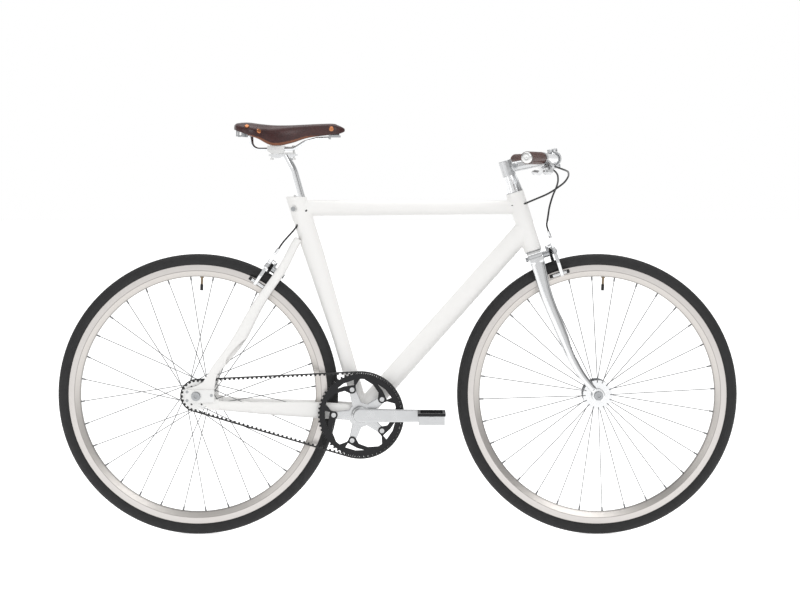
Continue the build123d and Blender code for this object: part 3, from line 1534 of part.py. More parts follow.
def brake_arm_pair(point, w, reach):
    """The centre arm and the side arm of a caliper, each with its pad, in their rest places."""
    place = brake_place(point)
    down = 1 if (point(0, 1, 0) - point(0, 0, 0)).dot(place.y_dir) > 0 else -1
    inner_low, inner_high = w, w + brake_arm_depth
    outer_low = inner_high + brake_arm_gap
    outer_high = outer_low + brake_arm_depth
    middle = (inner_low + outer_high) / 2
    pad_u = rim_half_width + pad_gap

    def pad(side):
        """The rubber block on one side of the rim, and the shoe that holds it."""
        block = Box(pad_thickness, pad_height, pad_length, align=MIDDLE)
        shoe = Box(pad_holder, pad_height - 2, pad_length - 14, align=MIDDLE)
        block_u = side * (pad_u + pad_thickness / 2)
        shoe_u = side * (pad_u + pad_thickness + 0.05 + pad_holder / 2)
        return Pos(block_u, down * reach, middle) * block, Pos(shoe_u, down * reach, middle) * shoe

    def flat(points):
        """Arm points on the plane's own axes."""
        return [(u, down * v) for u, v in points]

    end_u = pad_u + pad_thickness + pad_holder + 4
    centre_line = flat([(0, 0), (20, -1), (31, 12), (34, 28), (end_u + 2, reach)])
    centre = link(centre_line, brake_arm_r, inner_low, inner_high)
    centre += link(flat([(0, 0), (-20, -14), (-27, -17)]), brake_arm_r - 1, inner_low, inner_high)
    block, shoe = pad(1)
    centre += shoe
    centre -= Pos(0, 0, inner_low - 1) * Cylinder(brake_bolt_r + 0.06, brake_arm_depth + 2, align=BASE)
    side_line = flat([(side_pivot_u, side_pivot_v), (4, -15), (-22, -9), (-32, 6), (-34, 28),
                      (-end_u - 2, reach)])
    side_arm = link(side_line, brake_arm_r, outer_low, outer_high)
    adjuster_line = flat([(-22, -9), (-30, -22), (adjuster_u, adjuster_v)])
    side_arm += link(adjuster_line, brake_arm_r - 1.5, outer_low, outer_high)
    block_left, shoe_left = pad(-1)
    side_arm += shoe_left
    side_arm -= Pos(side_pivot_u, down * side_pivot_v, outer_low - 1) * Cylinder(
        brake_bolt_r + 0.06, brake_arm_depth + 2, align=BASE)
    side_arm -= Pos(0, 0, outer_low - 1) * Cylinder(brake_nut_r + 1.4, brake_arm_depth + 2, align=BASE)
    middle_w = (outer_low + outer_high) / 2
    base = point(adjuster_u, adjuster_v, middle_w)
    top = point(adjuster_u, adjuster_v - adjuster_length, middle_w)
    adjuster = rod(base, top, adjuster_r)
    wire = rod(point(adjuster_u, adjuster_v + 4, middle_w), point(adjuster_u, -20, middle_w), inner_wire_r)
    side_arm = place * side_arm + adjuster + wire
    return [place * centre, place * block], [side_arm, place * block_left]


def adjuster_top(point, w):
    """Where the cable meets a caliper's barrel adjuster."""
    middle_w = w + brake_arm_depth + brake_arm_gap + brake_arm_depth / 2
    return point(adjuster_u, adjuster_v - adjuster_length, middle_w)


def front_adjuster_top():
    """Where the front cable ends."""
    return adjuster_top(front_brake_point, front_brake_w)


def rear_adjuster_top():
    """Where the rear cable ends."""
    return adjuster_top(rear_brake_point, rear_brake_w)


def brake_bolt(point, w, back, front_face):
    """The centre bolt of a caliper with its pivot plate, its nut and the side pivot."""
    outer = w + 2 * brake_arm_depth + brake_arm_gap
    bolt = rod(point(0, 0, back), point(0, 0, outer + 1), brake_bolt_r)
    bolt += rod(point(0, 0, front_face), point(0, 0, w - 0.3), brake_spacer_r)
    bolt += rod(point(0, 0, w + brake_arm_depth + 0.3), point(0, 0, outer + 3), brake_nut_r)
    plate = link([(0, 0), (side_pivot_u, side_pivot_v)], brake_arm_r, w - 4.5, w - 0.4)
    place = brake_place(point)
    down = 1 if (point(0, 1, 0) - point(0, 0, 0)).dot(place.y_dir) > 0 else -1
    if down < 0:
        plate = mirror(plate, about=Plane.XZ)
    bolt += place * plate
    u, v = side_pivot_u, side_pivot_v
    pivot = rod(point(u, v, w - 2), point(u, v, outer + 0.4), brake_bolt_r)
    pivot += rod(point(u, v, outer + 0.3), point(u, v, outer + 2.4), brake_nut_r)
    nut = rod(point(0, 0, back), point(0, 0, back + 5), brake_nut_r)
    return bolt + pivot + nut


def front_reach():
    """How far below its bolt the front pads meet the rim."""
    return front_brake_bolt_s - pad_track_r


def rear_reach():
    """How far below its bolt the rear pads meet the rim."""
    w = rear_brake_w + brake_arm_depth
    return rear_brake_radius - math.sqrt(pad_track_r**2 - w**2)


# Saddle

cover_stations = [
    # ahead of the clamp, half width, top above the rails, skirt above the rails
    (-100.5, 46.0, 59.6, 47.1), (-92.5, 68.0, 63.6, 44.1), (-67.5, 83.0, 65.1, 35.1),
    (-38.5, 74.0, 61.6, 24.1), (-5.5, 50.0, 58.6, 8.6), (35.5, 30.0, 58.6, 15.1),
    (77.5, 22.5, 60.6, 28.1), (135.5, 20.0, 62.6, 35.6), (151.5, 17.0, 58.6, 37.1),
    (165.0, 9.0, 52.0, 42.0),
]


def saddle_point(ahead, y, above):
    """A point ahead of the clamp's middle and above the rails."""
    return Vector(clamp_x + ahead, y, rail_z + above)


def cover_point(station, share, inset=0.0):
    """A point of the cover's section, from one skirt at 0 over the top to the other at 1."""
    ahead, half, top, skirt = station
    angle = math.pi * share
    c, s = math.cos(angle), math.sin(angle)
    wide = math.copysign(abs(c) ** cover_round, c)
    high = abs(s) ** cover_round
    return saddle_point(ahead, wide * (half - inset), skirt + high * (top - inset - skirt))


def cover_section(station):
    """The closed section of the leather at one station."""
    shares = [0, 0.06, 0.15, 0.3, 0.5, 0.7, 0.85, 0.94, 1]
    outer = [cover_point(station, share) for share in shares]
    inner = [cover_point(station, share, leather) for share in shares]
    return make_face([
        Spline(*outer), Line(outer[-1], inner[-1]), Spline(*inner), Line(inner[0], outer[0]),
    ])


def saddle_cover():
    """The leather, drawn through its sections from back to nose."""
    return loft([cover_section(station) for station in cover_stations])


def saddle_rivets():
    """Copper rivets on the leather's edges at the back and the nose."""
    rivets = []
    for index, share in rivet_places:
        for at_share in (share, 1 - share):
            round_edge = cover_point(cover_stations[index], at_share + 0.02) - cover_point(
                cover_stations[index], at_share - 0.02)
            lengthways = cover_point(cover_stations[index + 1], at_share) - cover_point(
                cover_stations[index - 1], at_share)
            normal = round_edge.cross(lengthways).normalized()
            at = cover_point(cover_stations[index], at_share)
            foot = at + normal * rivet_gap
            rivets.append(rod(foot, foot + normal * rivet_height, rivet_r, rivet_r - 1.5))
    return rivets


rail_points = [
    # ahead of the clamp, Y, above the rails' clamped stretch
    (131.5, 9.0, 27.5), (101.5, 12.0, 26.5), (69.5, 20.0, 17.5), (42.0, 22.0, 0.0),
    (-60.0, 22.0, 0.0), (-63.5, 48.0, 34.0),
]


def saddle_rails(grow=0.0):
    """The two rails under the leather."""
    points = [saddle_point(*point) for point in rail_points]
    path = FilletPolyline(*points, radius=rail_bend_r)
    along = points[1] - points[0]
    rail = sweep(Plane(origin=points[0], z_dir=along) * Circle(rail_r + grow), path=path)
    return pair(rail)


def saddle_plates():
    """The nose plate with its tension bolt, and the cantle plate with its bag loops."""
    nose = Pos(144.5, 0, 28.6) * Box(26, 24, 5, align=BASE)
    nose += Pos(131.0, 0, 31.1) * Box(5, 30, 14, align=MIDDLE)
    arc_out = [(-40.5, 62), (-86.5, 0), (-40.5, -62)]
    arc_in = [(-40.5, 57), (-82.5, 0), (-40.5, -57)]
    band = make_face([
        ThreePointArc(*arc_out), Line(arc_out[2], arc_in[2]),
        ThreePointArc(*arc_in), Line(arc_in[0], arc_out[0]),
    ])
    cantle = Pos(0, 0, 30.1) * extrude(band, amount=12)
    loop = Box(20.8, 3.2, 15, align=BASE) - Pos(-1, 0, 3.2) * Box(12, 5, 8.5, align=BASE)
    cantle += pair(Pos(-86.1, 34, 30.6) * loop)
    bolt = rod((133.6, 0, 36.4), (154.5, 0, 36.4), 2.2)
    rails = saddle_rails(fit_gap / 2)
    place = Pos(saddle_point(0, 0, 0))
    return [place * nose - rails, place * cantle - rails, place * bolt]


def post_path():
    """The seatpost's centre line, from its foot inside the frame up and back to its head."""
    low = seat(seat_top_s - seatpost_insert)
    neck = seat(seat_top_s + post_straight + post_bend_r * 0.35)
    top = saddle_point(post_neck_forward, 0, -clamp_lower_height - post_head_height / 2)
    return FilletPolyline(low, neck, top, radius=post_bend_r)


def seatpost():
    """The post, curved back to its head, with the cradle's seat on top."""
    low = seat(seat_top_s - seatpost_insert)
    body = sweep(Plane(origin=low, z_dir=seat_up) * Circle(seatpost_r), path=post_path())
    head_top = -clamp_lower_height - 0.1
    start = post_head_forward - post_head_length / 2
    end = post_head_forward + post_head_length / 2
    foot = head_top - post_head_height
    face = make_face([
        Line((start, head_top), (end, head_top)), Line((end, head_top), (end, head_top - 4)),
        Line((end, head_top - 4), (post_neck_forward + 14, foot)),
        Line((post_neck_forward + 14, foot), (post_neck_forward - 20, foot)),
        Line((post_neck_forward - 20, foot), (start, head_top - 4)),
        Line((start, head_top - 4), (start, head_top)),
    ])
    body += Pos(saddle_point(0, 0, 0)) * side_plate(face, -10, 10)
    body -= rod(low - seat_up, seat(seat_top_s + post_straight), seatpost_r - seatpost_wall)
    body -= Pos(saddle_point(0, 0, head_top)) * Box(160, 60, 40, align=BASE)
    for ahead in (rear_clamp_bolt, front_clamp_bolt):
        body -= rod(saddle_point(ahead, 0, -40), saddle_point(ahead, 0, 5), clamp_bolt_r + 0.2)
        body -= rod(saddle_point(ahead, 0, foot - 6), saddle_point(ahead, 0, foot), clamp_bolt_head_r + 0.3)
    return body


def saddle_clamp():
    """The cradle and the top clamp that grip the rails, and their two bolts."""
    half = clamp_length / 2
    belly = make_face([
        Line((-half, -0.2), (half, -0.2)), Line((half, -0.2), (half, -4)),
        ThreePointArc((half, -4), (half / 2, 1.5 - clamp_lower_height), (6, -clamp_lower_height)),
        Line((6, -clamp_lower_height), (-6, -clamp_lower_height)),
        ThreePointArc((-6, -clamp_lower_height), (-half / 2, 1.5 - clamp_lower_height), (-half, -4)),
        Line((-half, -4), (-half, -0.2)),
    ])
    place = Pos(saddle_point(0, 0, 0))
    lower = place * side_plate(belly, -clamp_half_width, clamp_half_width)
    tongue = Box(front_clamp_bolt + 8, cradle_tongue, 4, align=BASE)
    lower += place * (Pos(front_clamp_bolt / 2, 0, -clamp_lower_height) * tongue)
    block = Box(clamp_length, 2 * clamp_half_width, clamp_upper_height, align=BASE)
    upper = place * (Pos(0, 0, 0.2) * block)
    strap = Box(post_head_length, cradle_tongue, clamp_upper_height - 2, align=BASE)
    upper += place * (Pos(post_head_forward, 0, 0.2) * strap)
    for side in (-1, 1):
        y = side * rail_spread
        groove = rod(saddle_point(-50, y, 0), saddle_point(38, y, 0), rail_r + 0.05)
        lower -= groove
        upper -= groove
    bolts = []
    foot = -clamp_lower_height - post_head_height - 0.1
    for ahead in (rear_clamp_bolt, front_clamp_bolt):
        hole = rod(saddle_point(ahead, 0, -40), saddle_point(ahead, 0, 20), clamp_bolt_r + 0.2)
        lower -= hole
        upper -= hole
        top = clamp_upper_height + (0.25 if ahead < half else -1.75)
        bolt = rod(saddle_point(ahead, 0, foot - 3.5), saddle_point(ahead, 0, top + 1), clamp_bolt_r)
        bolt += rod(saddle_point(ahead, 0, foot - 4), saddle_point(ahead, 0, foot - 0.05), clamp_bolt_head_r)
        bolt += rod(saddle_point(ahead, 0, top), saddle_point(ahead, 0, top + 2.5), clamp_bolt_head_r)
        bolts.append(bolt)
    return [lower, upper, *bolts]


def export(name, pieces):
    """Writes one sub-part, whose separate pieces stay separate solids."""
    if not isinstance(pieces, list):
        pieces = [pieces]
    solids = [solid for piece in pieces for solid in piece.solids()]
    export_step(Compound(children=solids) if len(solids) > 1 else solids[0], f"parts/{name}.step")


def wheel_nodes(name, x, turn, lines, hub_pieces):
    """Writes one wheel, rolled so that its valve stands where it should."""
    export(f"{name}_rim", around_hub(x, rim(lines), turn))
    export(f"{name}_tyre", around_hub(x, tyre()))
    export(f"{name}_inner_tube", [around_hub(x, piece, turn) for piece in inner_tube()])
    export(f"{name}_spokes", [around_hub(x, spoke(*line), turn) for line in lines])
    export(f"{name}_hub", [around_hub(x, piece, turn) for piece in hub_pieces])


def main():
    """Builds every sub-part and writes it to its own file."""
    os.makedirs("parts", exist_ok=True)
    front_lines = spoke_lines(front_hole_circle_r, front_flange_r, front_flange_y, 0)
    rear_lines = spoke_lines(rear_hole_circle_r, rear_flange_r, rear_flange_y, spoke_crossings)
    front_hub = hub(front_shell_r, front_flange_r, front_flange_y, front_hole_circle_r, front_axle_r,
                    front_hub_width / 2, front_lines)
    rear_hub = hub(rear_shell_r, rear_flange_r, rear_flange_y, rear_hole_circle_r, rear_axle_r,
                   rear_hub_width / 2, rear_lines, rear_carrier_r, chainline + sprocket_width / 2)
    wheel_nodes("front", front_x, front_wheel_turn, front_lines, front_hub)
    wheel_nodes("rear", rear_x, rear_wheel_turn, rear_lines, rear_hub)
    export("rear_sprocket", rear_sprocket())
    rear_outer = rear_hub_width / 2 + dropout_thickness + 0.05 + axle_plate_thickness + 0.05
    export("rear_axle", axle_set(rear_x, rear_axle_r, rear_hub_width / 2, rear_outer))
    front_outer = front_hub_width / 2 + fork_tip + 0.05
    export("front_axle", axle_set(front_x, front_axle_r, front_hub_width / 2, front_outer))

    export("front_sprocket", front_sprocket())
    export("drive_belt", drive_belt())
    export("right_crank", right_crank())
    export("left_crank", left_crank())
    export("crank_spindle", crank_spindle())
    export("sprocket_bolts", sprocket_bolts())
    export("bottom_bracket_cups", bottom_bracket_cups())
    export("pedal_axles", pedal_axles())
    export("right_pedal", pedal(-1))
    export("left_pedal", pedal(1))

    rear_points = rear_cable_points()
    front_points = front_cable_points()
    port = cable(rear_points, cable_port_r)
    export("head_tube", head_tube(port))
    export("seat_tube", seat_tube(port))
    export("top_tube", top_tube(port))
    export("down_tube", down_tube())
    export("bottom_bracket_shell", bottom_bracket_shell())
    export("chainstays", chainstays())
    stays = seatstays()
    export("seatstays", stays)
    export("seatstay_bridge", seatstay_bridge(stays))
    export("rear_dropouts", rear_dropouts())
    export("axle_plates", axle_plates())
    export("frame_screws", frame_screws())
    export("headset_bearings", headset_bearings())

    export("fork_crown", fork_crown())
    export("fork_blades", fork_blades())
    export("headset_cone", headset_cone())
    export("stem", stem())
    export("stem_bolts", stem_bolts())
    export("handlebar", handlebar())
    export("grips", grips())
    export("bar_end_plugs", bar_end_plugs())
    export("lever_clamps", lever_clamps())
    export("right_brake_lever", brake_lever(-1))
    export("left_brake_lever", brake_lever(1))

    centre, side_arm = brake_arm_pair(front_brake_point, front_brake_w, front_reach())
    export("front_brake_left_arm", centre)
    export("front_brake_right_arm", side_arm)
    bolt = brake_bolt(front_brake_point, front_brake_w, front_brake_bolt_back, front_brake_spacer_w)
    export("front_brake_bolt", bolt)
    centre, side_arm = brake_arm_pair(rear_brake_point, rear_brake_w, rear_reach())
    export("rear_brake_left_arm", centre)
    export("rear_brake_right_arm", side_arm)
    bolt = brake_bolt(rear_brake_point, rear_brake_w, rear_brake_bolt_back, rear_brake_spacer_w)
    export("rear_brake_bolt", bolt)

    for name, points in (("rear_brake_cable", rear_points), ("front_brake_cable", front_points)):
        path, radii = cable_path(points)
        line = cable(points, cable_r)
        section = math.pi * cable_r**2
        print(name, "length", round(path.length, 1), "radii", [round(r) for r in radii])
        print(name, "volume", round(line.volume), "section by length", round(section * path.length))
        export(name, line)

    export("seatpost", seatpost())
    export("saddle_clamp", saddle_clamp())
    export("saddle_rails", saddle_rails())
    export("saddle_cover", saddle_cover())
    export("saddle_rivets", saddle_rivets())
    export("saddle_plates", saddle_plates())
    print("drive centres", round(drive_centres, 2), "bottom bracket", round(bb_x, 2), round(bb_z, 2))


if __name__ == "__main__":
    main()
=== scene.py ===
# %% [markdown]
# # A belt-driven fixed gear bicycle
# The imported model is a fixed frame. It already holds each tube, wheel and bolt at its real size, in
# metres, with X forward, Y to the rider's left and Z up. This file dresses it: it lights it, gives each
# piece the finish of its real material, and replaces the pieces whose real surface is soft or welded.

# %% Load the frame
import math

import bmesh
import bpy
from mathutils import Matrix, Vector
from mathutils.bvhtree import BVHTree


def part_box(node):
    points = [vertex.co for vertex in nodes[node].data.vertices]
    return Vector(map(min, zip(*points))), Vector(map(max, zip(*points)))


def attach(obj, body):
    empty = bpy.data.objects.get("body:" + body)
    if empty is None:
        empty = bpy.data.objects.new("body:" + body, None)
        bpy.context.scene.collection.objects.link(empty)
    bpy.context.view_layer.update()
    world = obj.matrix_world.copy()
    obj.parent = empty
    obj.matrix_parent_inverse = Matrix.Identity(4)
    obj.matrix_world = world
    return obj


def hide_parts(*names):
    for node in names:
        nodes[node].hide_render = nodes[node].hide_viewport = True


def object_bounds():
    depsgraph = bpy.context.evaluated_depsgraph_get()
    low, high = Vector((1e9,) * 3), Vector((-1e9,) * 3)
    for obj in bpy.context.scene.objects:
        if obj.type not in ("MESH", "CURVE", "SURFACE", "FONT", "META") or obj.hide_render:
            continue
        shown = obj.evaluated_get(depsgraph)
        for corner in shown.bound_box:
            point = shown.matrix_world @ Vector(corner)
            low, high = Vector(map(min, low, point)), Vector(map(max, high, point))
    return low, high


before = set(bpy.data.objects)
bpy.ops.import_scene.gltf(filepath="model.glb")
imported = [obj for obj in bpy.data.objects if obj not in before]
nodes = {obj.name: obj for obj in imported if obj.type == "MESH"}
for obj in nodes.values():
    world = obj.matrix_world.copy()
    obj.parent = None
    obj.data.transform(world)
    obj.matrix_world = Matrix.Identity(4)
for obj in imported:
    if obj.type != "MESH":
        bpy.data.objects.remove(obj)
cad_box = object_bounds()

# %% [markdown]
# ## The camera
# The photograph looks square on at the right-hand side, from about six metres away, a little above the
# middle of the bicycle. A long lens far away keeps the wheels round. The lens shift moves the picture on
# the sensor without tilting the camera, so upright lines stay upright.

# %% Place the camera
camera_data = bpy.data.cameras.new("side_camera")
camera_data.lens = 110.0
camera_data.shift_x = -0.0125
camera_data.shift_y = -0.15
camera_data.clip_end = 60
camera = bpy.data.objects.new("side_camera", camera_data)
camera.location = (0.0304, -6.0, 0.8682)
camera.rotation_euler = (math.radians(90), 0, 0)
bpy.context.scene.collection.objects.link(camera)
bpy.context.scene.camera = camera
print("camera at", tuple(camera.location))

# %% [markdown]
# ## Colours and shader nodes
# A screen colour such as #6B3F26 is stored as sRGB, but light adds up in linear numbers, so one function
# converts it. A second one adds a shader node with its settings and its links in one call, which keeps
# each material below short enough to read as a recipe.

# %% Turn a hex colour into linear light
def linear(hex_colour):
    channels = [int(hex_colour[i:i + 2], 16) / 255 for i in (1, 3, 5)]
    return [c / 12.92 if c <= 0.04045 else ((c + 0.055) / 1.055) ** 2.4 for c in channels] + [1.0]


print("mid grey is", [round(c, 3) for c in linear("#808080")])


# %% Add one node with its settings and links
def add_node(tree, kind, settings=None, values=None, links=None):
    """settings are the node's own properties, values its input numbers, links its inputs' sources."""
    node = tree.nodes.new(kind)
    for name, value in (settings or {}).items():
        setattr(node, name, value)
    for name, value in (values or {}).items():
        node.inputs[name].default_value = value
    for name, source in (links or {}).items():
        tree.links.new(source, node.inputs[name])
    return node


# %% Start a material with a principled surface
def start_material(name, **values):
    """A new material with its output, its surface shader and the object's own coordinates."""
    material = bpy.data.materials.new(name)
    material.use_nodes = True
    tree = material.node_tree
    tree.nodes.clear()
    inputs = {key.replace("_", " ").title().replace("Ior", "IOR"): value for key, value in values.items()}
    surface = add_node(tree, "ShaderNodeBsdfPrincipled", values=inputs)
    add_node(tree, "ShaderNodeOutputMaterial", links={"Surface": surface.outputs["BSDF"]})
    where = add_node(tree, "ShaderNodeTexCoord").outputs["Object"]
    return material, tree, surface, where


# %% Link a height to a surface's bump
def add_bump(tree, surface, height, depth_mm, strength=1.0):
    """depth_mm is how deep the pattern really is, in millimetres."""
    bump = add_node(tree, "ShaderNodeBump", values={"Strength": strength, "Distance": depth_mm / 1000},
                    links={"Height": height})
    tree.links.new(bump.outputs["Normal"], surface.inputs["Normal"])
    return bump


# %% Give a finish to one or more frame nodes
def finish_nodes(material, *names):
    for name in names:
        node = nodes[name]
        node.data.materials.clear()
        node.data.materials.append(material)
        node.data.shade_smooth()
        smooth = node.modifiers.new("even_shading", "EDGE_SPLIT")
        smooth.split_angle = math.radians(32)
    print(material.name, "on", len(names), "nodes")


# %% [markdown]
# ## Studio light and floor
# The bicycle stands on white paper under broad, soft light. The paper's white comes from its own colour
# and from what the camera sees of it, never from more light on the bicycle, so that a white tube keeps
# its shading. The world is a soft gradient, because a polished tube shows only what it reflects.

# %% Light the world
world = bpy.data.worlds.new("white_studio")
bpy.context.scene.world = world
world.use_nodes = True
sky = world.node_tree
sky.nodes.clear()
toward = add_node(sky, "ShaderNodeTexCoord").outputs["Generated"]
parts = add_node(sky, "ShaderNodeSeparateXYZ", links={"Vector": toward})
raised = add_node(sky, "ShaderNodeMapRange", values={"From Min": -1.0, "From Max": 1.0},
                  links={"Value": parts.outputs["Z"]})


def fill_ramp(ramp_node, stops):
    """Sets a colour ramp's grey levels from pairs of position and level."""
    ramp = ramp_node.color_ramp
    while len(ramp.elements) < len(stops):
        ramp.elements.new(0.5)
    for element, (position, level) in zip(ramp.elements, stops):
        element.position = position
        element.color = (level, level, level, 1)


soft_light = add_node(sky, "ShaderNodeValToRGB", links={"Fac": raised.outputs["Result"]})
fill_ramp(soft_light, [(0.0, 0.50), (0.40, 0.60), (0.50, 0.95), (0.70, 0.80), (0.85, 0.85), (1.0, 0.95)])
even = add_node(sky, "ShaderNodeBackground", values={"Strength": 0.93}, links={"Color": soft_light.outputs["Color"]})

# %% [markdown]
# A photographer hangs narrow black flags beside a chrome or polished part, because without them it shows
# only white and loses its edges. Here the flags are dark bands of the world that only reflections see,
# placed by their direction round the room, the same on both sides.

# %% Hang the black flags
backward = add_node(sky, "ShaderNodeMath", settings={"operation": "MULTIPLY"}, links={0: parts.outputs["Y"]})
backward.inputs[1].default_value = -1.0
round_room = add_node(sky, "ShaderNodeMath", settings={"operation": "ARCTAN2"},
                      links={0: parts.outputs["X"], 1: backward.outputs[0]})
either_side = add_node(sky, "ShaderNodeMath", settings={"operation": "ABSOLUTE"}, links={0: round_room.outputs[0]})
turned = add_node(sky, "ShaderNodeMapRange", values={"From Max": math.pi}, links={"Value": either_side.outputs[0]})
flags = add_node(sky, "ShaderNodeValToRGB", links={"Fac": turned.outputs["Result"]})
fill_ramp(flags, [(0.0, 1.0), (0.14, 1.0), (0.20, 0.62), (0.26, 0.95), (0.31, 0.32), (0.37, 0.26), (0.42, 0.85),
                  (0.53, 0.95), (0.58, 0.40), (0.63, 0.38), (0.68, 0.90), (0.90, 0.95), (1.0, 0.95)])
levels = add_node(sky, "ShaderNodeValToRGB", links={"Fac": raised.outputs["Result"]})
fill_ramp(levels, [(0.0, 0.22), (0.36, 0.28), (0.46, 0.74), (0.52, 1.0), (0.64, 0.92), (0.72, 0.46), (0.78, 0.44),
                   (0.84, 0.95), (1.0, 1.0)])
room = add_node(sky, "ShaderNodeMix", settings={"data_type": "RGBA", "blend_type": "MULTIPLY"}, values={0: 1.0},
                links={6: flags.outputs["Color"], 7: levels.outputs["Color"]})
mirrored = add_node(sky, "ShaderNodeBackground", values={"Strength": 0.98}, links={"Color": room.outputs[2]})
ray = add_node(sky, "ShaderNodeLightPath")
lit = add_node(sky, "ShaderNodeMixShader", links={0: ray.outputs["Is Glossy Ray"], 1: even.outputs[0],
                                                 2: mirrored.outputs[0]})
white = add_node(sky, "ShaderNodeBackground", values={"Color": (1, 1, 1, 1), "Strength": 1.0})
sight = add_node(sky, "ShaderNodeMixShader", links={0: ray.outputs["Is Camera Ray"], 1: lit.outputs[0],
                                                   2: white.outputs[0]})
add_node(sky, "ShaderNodeOutputWorld", links={"Surface": sight.outputs[0]})
print("world nodes", len(sky.nodes))


# %% Hang the soft lamps
def add_lamp(name, place, target, size, power):
    """A rectangular soft box that faces its target."""
    data = bpy.data.lights.new(name, "AREA")
    data.shape = "RECTANGLE"
    data.size, data.size_y = size
    data.energy = power
    lamp = bpy.data.objects.new(name, data)
    lamp.location = place
    lamp.rotation_euler = (Vector(target) - Vector(place)).to_track_quat("-Z", "Y").to_euler()
    bpy.context.scene.collection.objects.link(lamp)
    return lamp


add_lamp("key_softbox", (1.6, -3.6, 3.2), (0, 0, 0.5), (2.4, 1.6), 34)
add_lamp("fill_softbox", (-2.8, -3.0, 1.8), (0, 0, 0.5), (2.0, 2.0), 14)
add_lamp("top_softbox", (0, 0.6, 3.4), (0, 0, 0.4), (3.2, 1.4), 26)

# %% Lay the paper floor
paper, tree, surface, where = start_material("white_background_paper", base_color=linear("#EDEDED"), roughness=0.9)
surface.inputs["Specular IOR Level"].default_value = 0.1
lift = add_node(tree, "ShaderNodeEmission", values={"Color": (1, 1, 1, 1), "Strength": 0.70})
glow = add_node(tree, "ShaderNodeAddShader", links={0: surface.outputs["BSDF"], 1: lift.outputs["Emission"]})
ray = add_node(tree, "ShaderNodeLightPath")
either = add_node(tree, "ShaderNodeMath", settings={"operation": "MAXIMUM"},
                  links={0: ray.outputs["Is Camera Ray"], 1: ray.outputs["Is Glossy Ray"]})
shown = add_node(tree, "ShaderNodeMixShader", links={0: either.outputs[0], 1: surface.outputs["BSDF"],
                                                     2: glow.outputs["Shader"]})
output = next(node for node in tree.nodes if node.type == "OUTPUT_MATERIAL")
tree.links.new(shown.outputs["Shader"], output.inputs["Surface"])
floor_mesh = bpy.data.meshes.new("studio_floor")
floor_mesh.from_pydata([(-30, -12, 0), (30, -12, 0), (30, 45, 0), (-30, 45, 0)], [], [(0, 1, 2, 3)])
floor_mesh.materials.append(paper)
floor = bpy.data.objects.new("studio_floor", floor_mesh)
floor.location.z = cad_box[0].z - 0.0005
bpy.context.scene.collection.objects.link(floor)
print("floor at", round(floor.location.z, 4))

# %% [markdown]
# ## Metals
# Polished aluminium is bright because the bare metal reflects almost all the light. Buffing leaves long
# faint scratches, so its roughness wanders a little and its bump is stretched along one direction.
# Satin aluminium is the same metal with a coarser, duller surface.

# %% Polished aluminium
def brushed_metal(name, colour, roughness, spread, grain_mm, depth_mm):
    """Bare metal whose roughness and faint grain come from a stretched noise."""
    material, tree, surface, where = start_material(name, base_color=linear(colour), metallic=1.0, roughness=roughness)
    stretched = add_node(tree, "ShaderNodeMapping", values={"Scale": (0.08, 1.0, 1.0)}, links={"Vector": where})
    grain = add_node(tree, "ShaderNodeTexNoise", values={"Scale": 1000 / grain_mm, "Detail": 3.0},
                     links={"Vector": stretched.outputs["Vector"]})
    cloud = add_node(tree, "ShaderNodeTexNoise", values={"Scale": 1000 / 25, "Detail": 4.0}, links={"Vector": where})
    dulled = add_node(tree, "ShaderNodeMapRange", links={"Value": cloud.outputs["Fac"]},
                      values={"From Min": 0.3, "From Max": 0.7, "To Min": roughness, "To Max": roughness + spread})
    tree.links.new(dulled.outputs["Result"], surface.inputs["Roughness"])
    add_bump(tree, surface, grain.outputs["Fac"], depth_mm)
    return material


polished_aluminium = brushed_metal("polished_aluminium", "#D3D4D5", 0.10, 0.08, 0.8, 0.003)
mirror_aluminium = brushed_metal("mirror_polished_aluminium", "#E4E5E6", 0.17, 0.05, 0.8, 0.002)
forged_aluminium = brushed_metal("forged_aluminium", "#BBBCBD", 0.24, 0.10, 0.8, 0.004)
satin_aluminium = brushed_metal("satin_aluminium", "#D6D6D5", 0.32, 0.12, 0.6, 0.01)
stainless_steel = brushed_metal("stainless_steel", "#A2A4A6", 0.30, 0.10, 0.6, 0.004)
spoke_wire = brushed_metal("drawn_steel_spokes", "#7C7D7E", 0.42, 0.08, 0.6, 0.004)
chromed_steel = brushed_metal("chromed_steel", "#D6D8DA", 0.16, 0.06, 1.0, 0.002)
print("metals", polished_aluminium.name, satin_aluminium.name)

# %% [markdown]
# Anodising grows a thin dyed layer of oxide on aluminium. It keeps the metal's sheen but not its
# brightness, so black anodised parts are dark with a soft, slightly grainy highlight.

# %% Black anodised aluminium
black_anodised, tree, surface, where = start_material(
    "black_anodised_aluminium", base_color=linear("#19191B"), metallic=0.5, roughness=0.36)
blast = add_node(tree, "ShaderNodeTexNoise", values={"Scale": 1000 / 0.7, "Detail": 2.0}, links={"Vector": where})
add_bump(tree, surface, blast.outputs["Fac"], 0.012)
print(black_anodised.name)

# %% [markdown]
# ## White powder coat
# Powder is sprayed dry onto the frame and baked until it flows together. It ends as a tough matt skin
# with a very fine orange-peel, here with ripples about 1.5 mm apart.

# %% Matt white powder coat
powder_coat, tree, surface, where = start_material(
    "matt_white_powder_coat", base_color=linear("#F5F4F2"), roughness=0.46, ior=1.5)
peel = add_node(tree, "ShaderNodeTexNoise", values={"Scale": 1000 / 1.5, "Detail": 2.0}, links={"Vector": where})
add_bump(tree, surface, peel.outputs["Fac"], 0.02)
print(powder_coat.name)

# %% [markdown]
# ## Rubber
# Tyre rubber is vulcanised in a steel mould, which leaves a dry, dark surface with fine moulded rings on
# the walls. The rings follow the wheel, so their pattern is worked out from the distance to the axle.

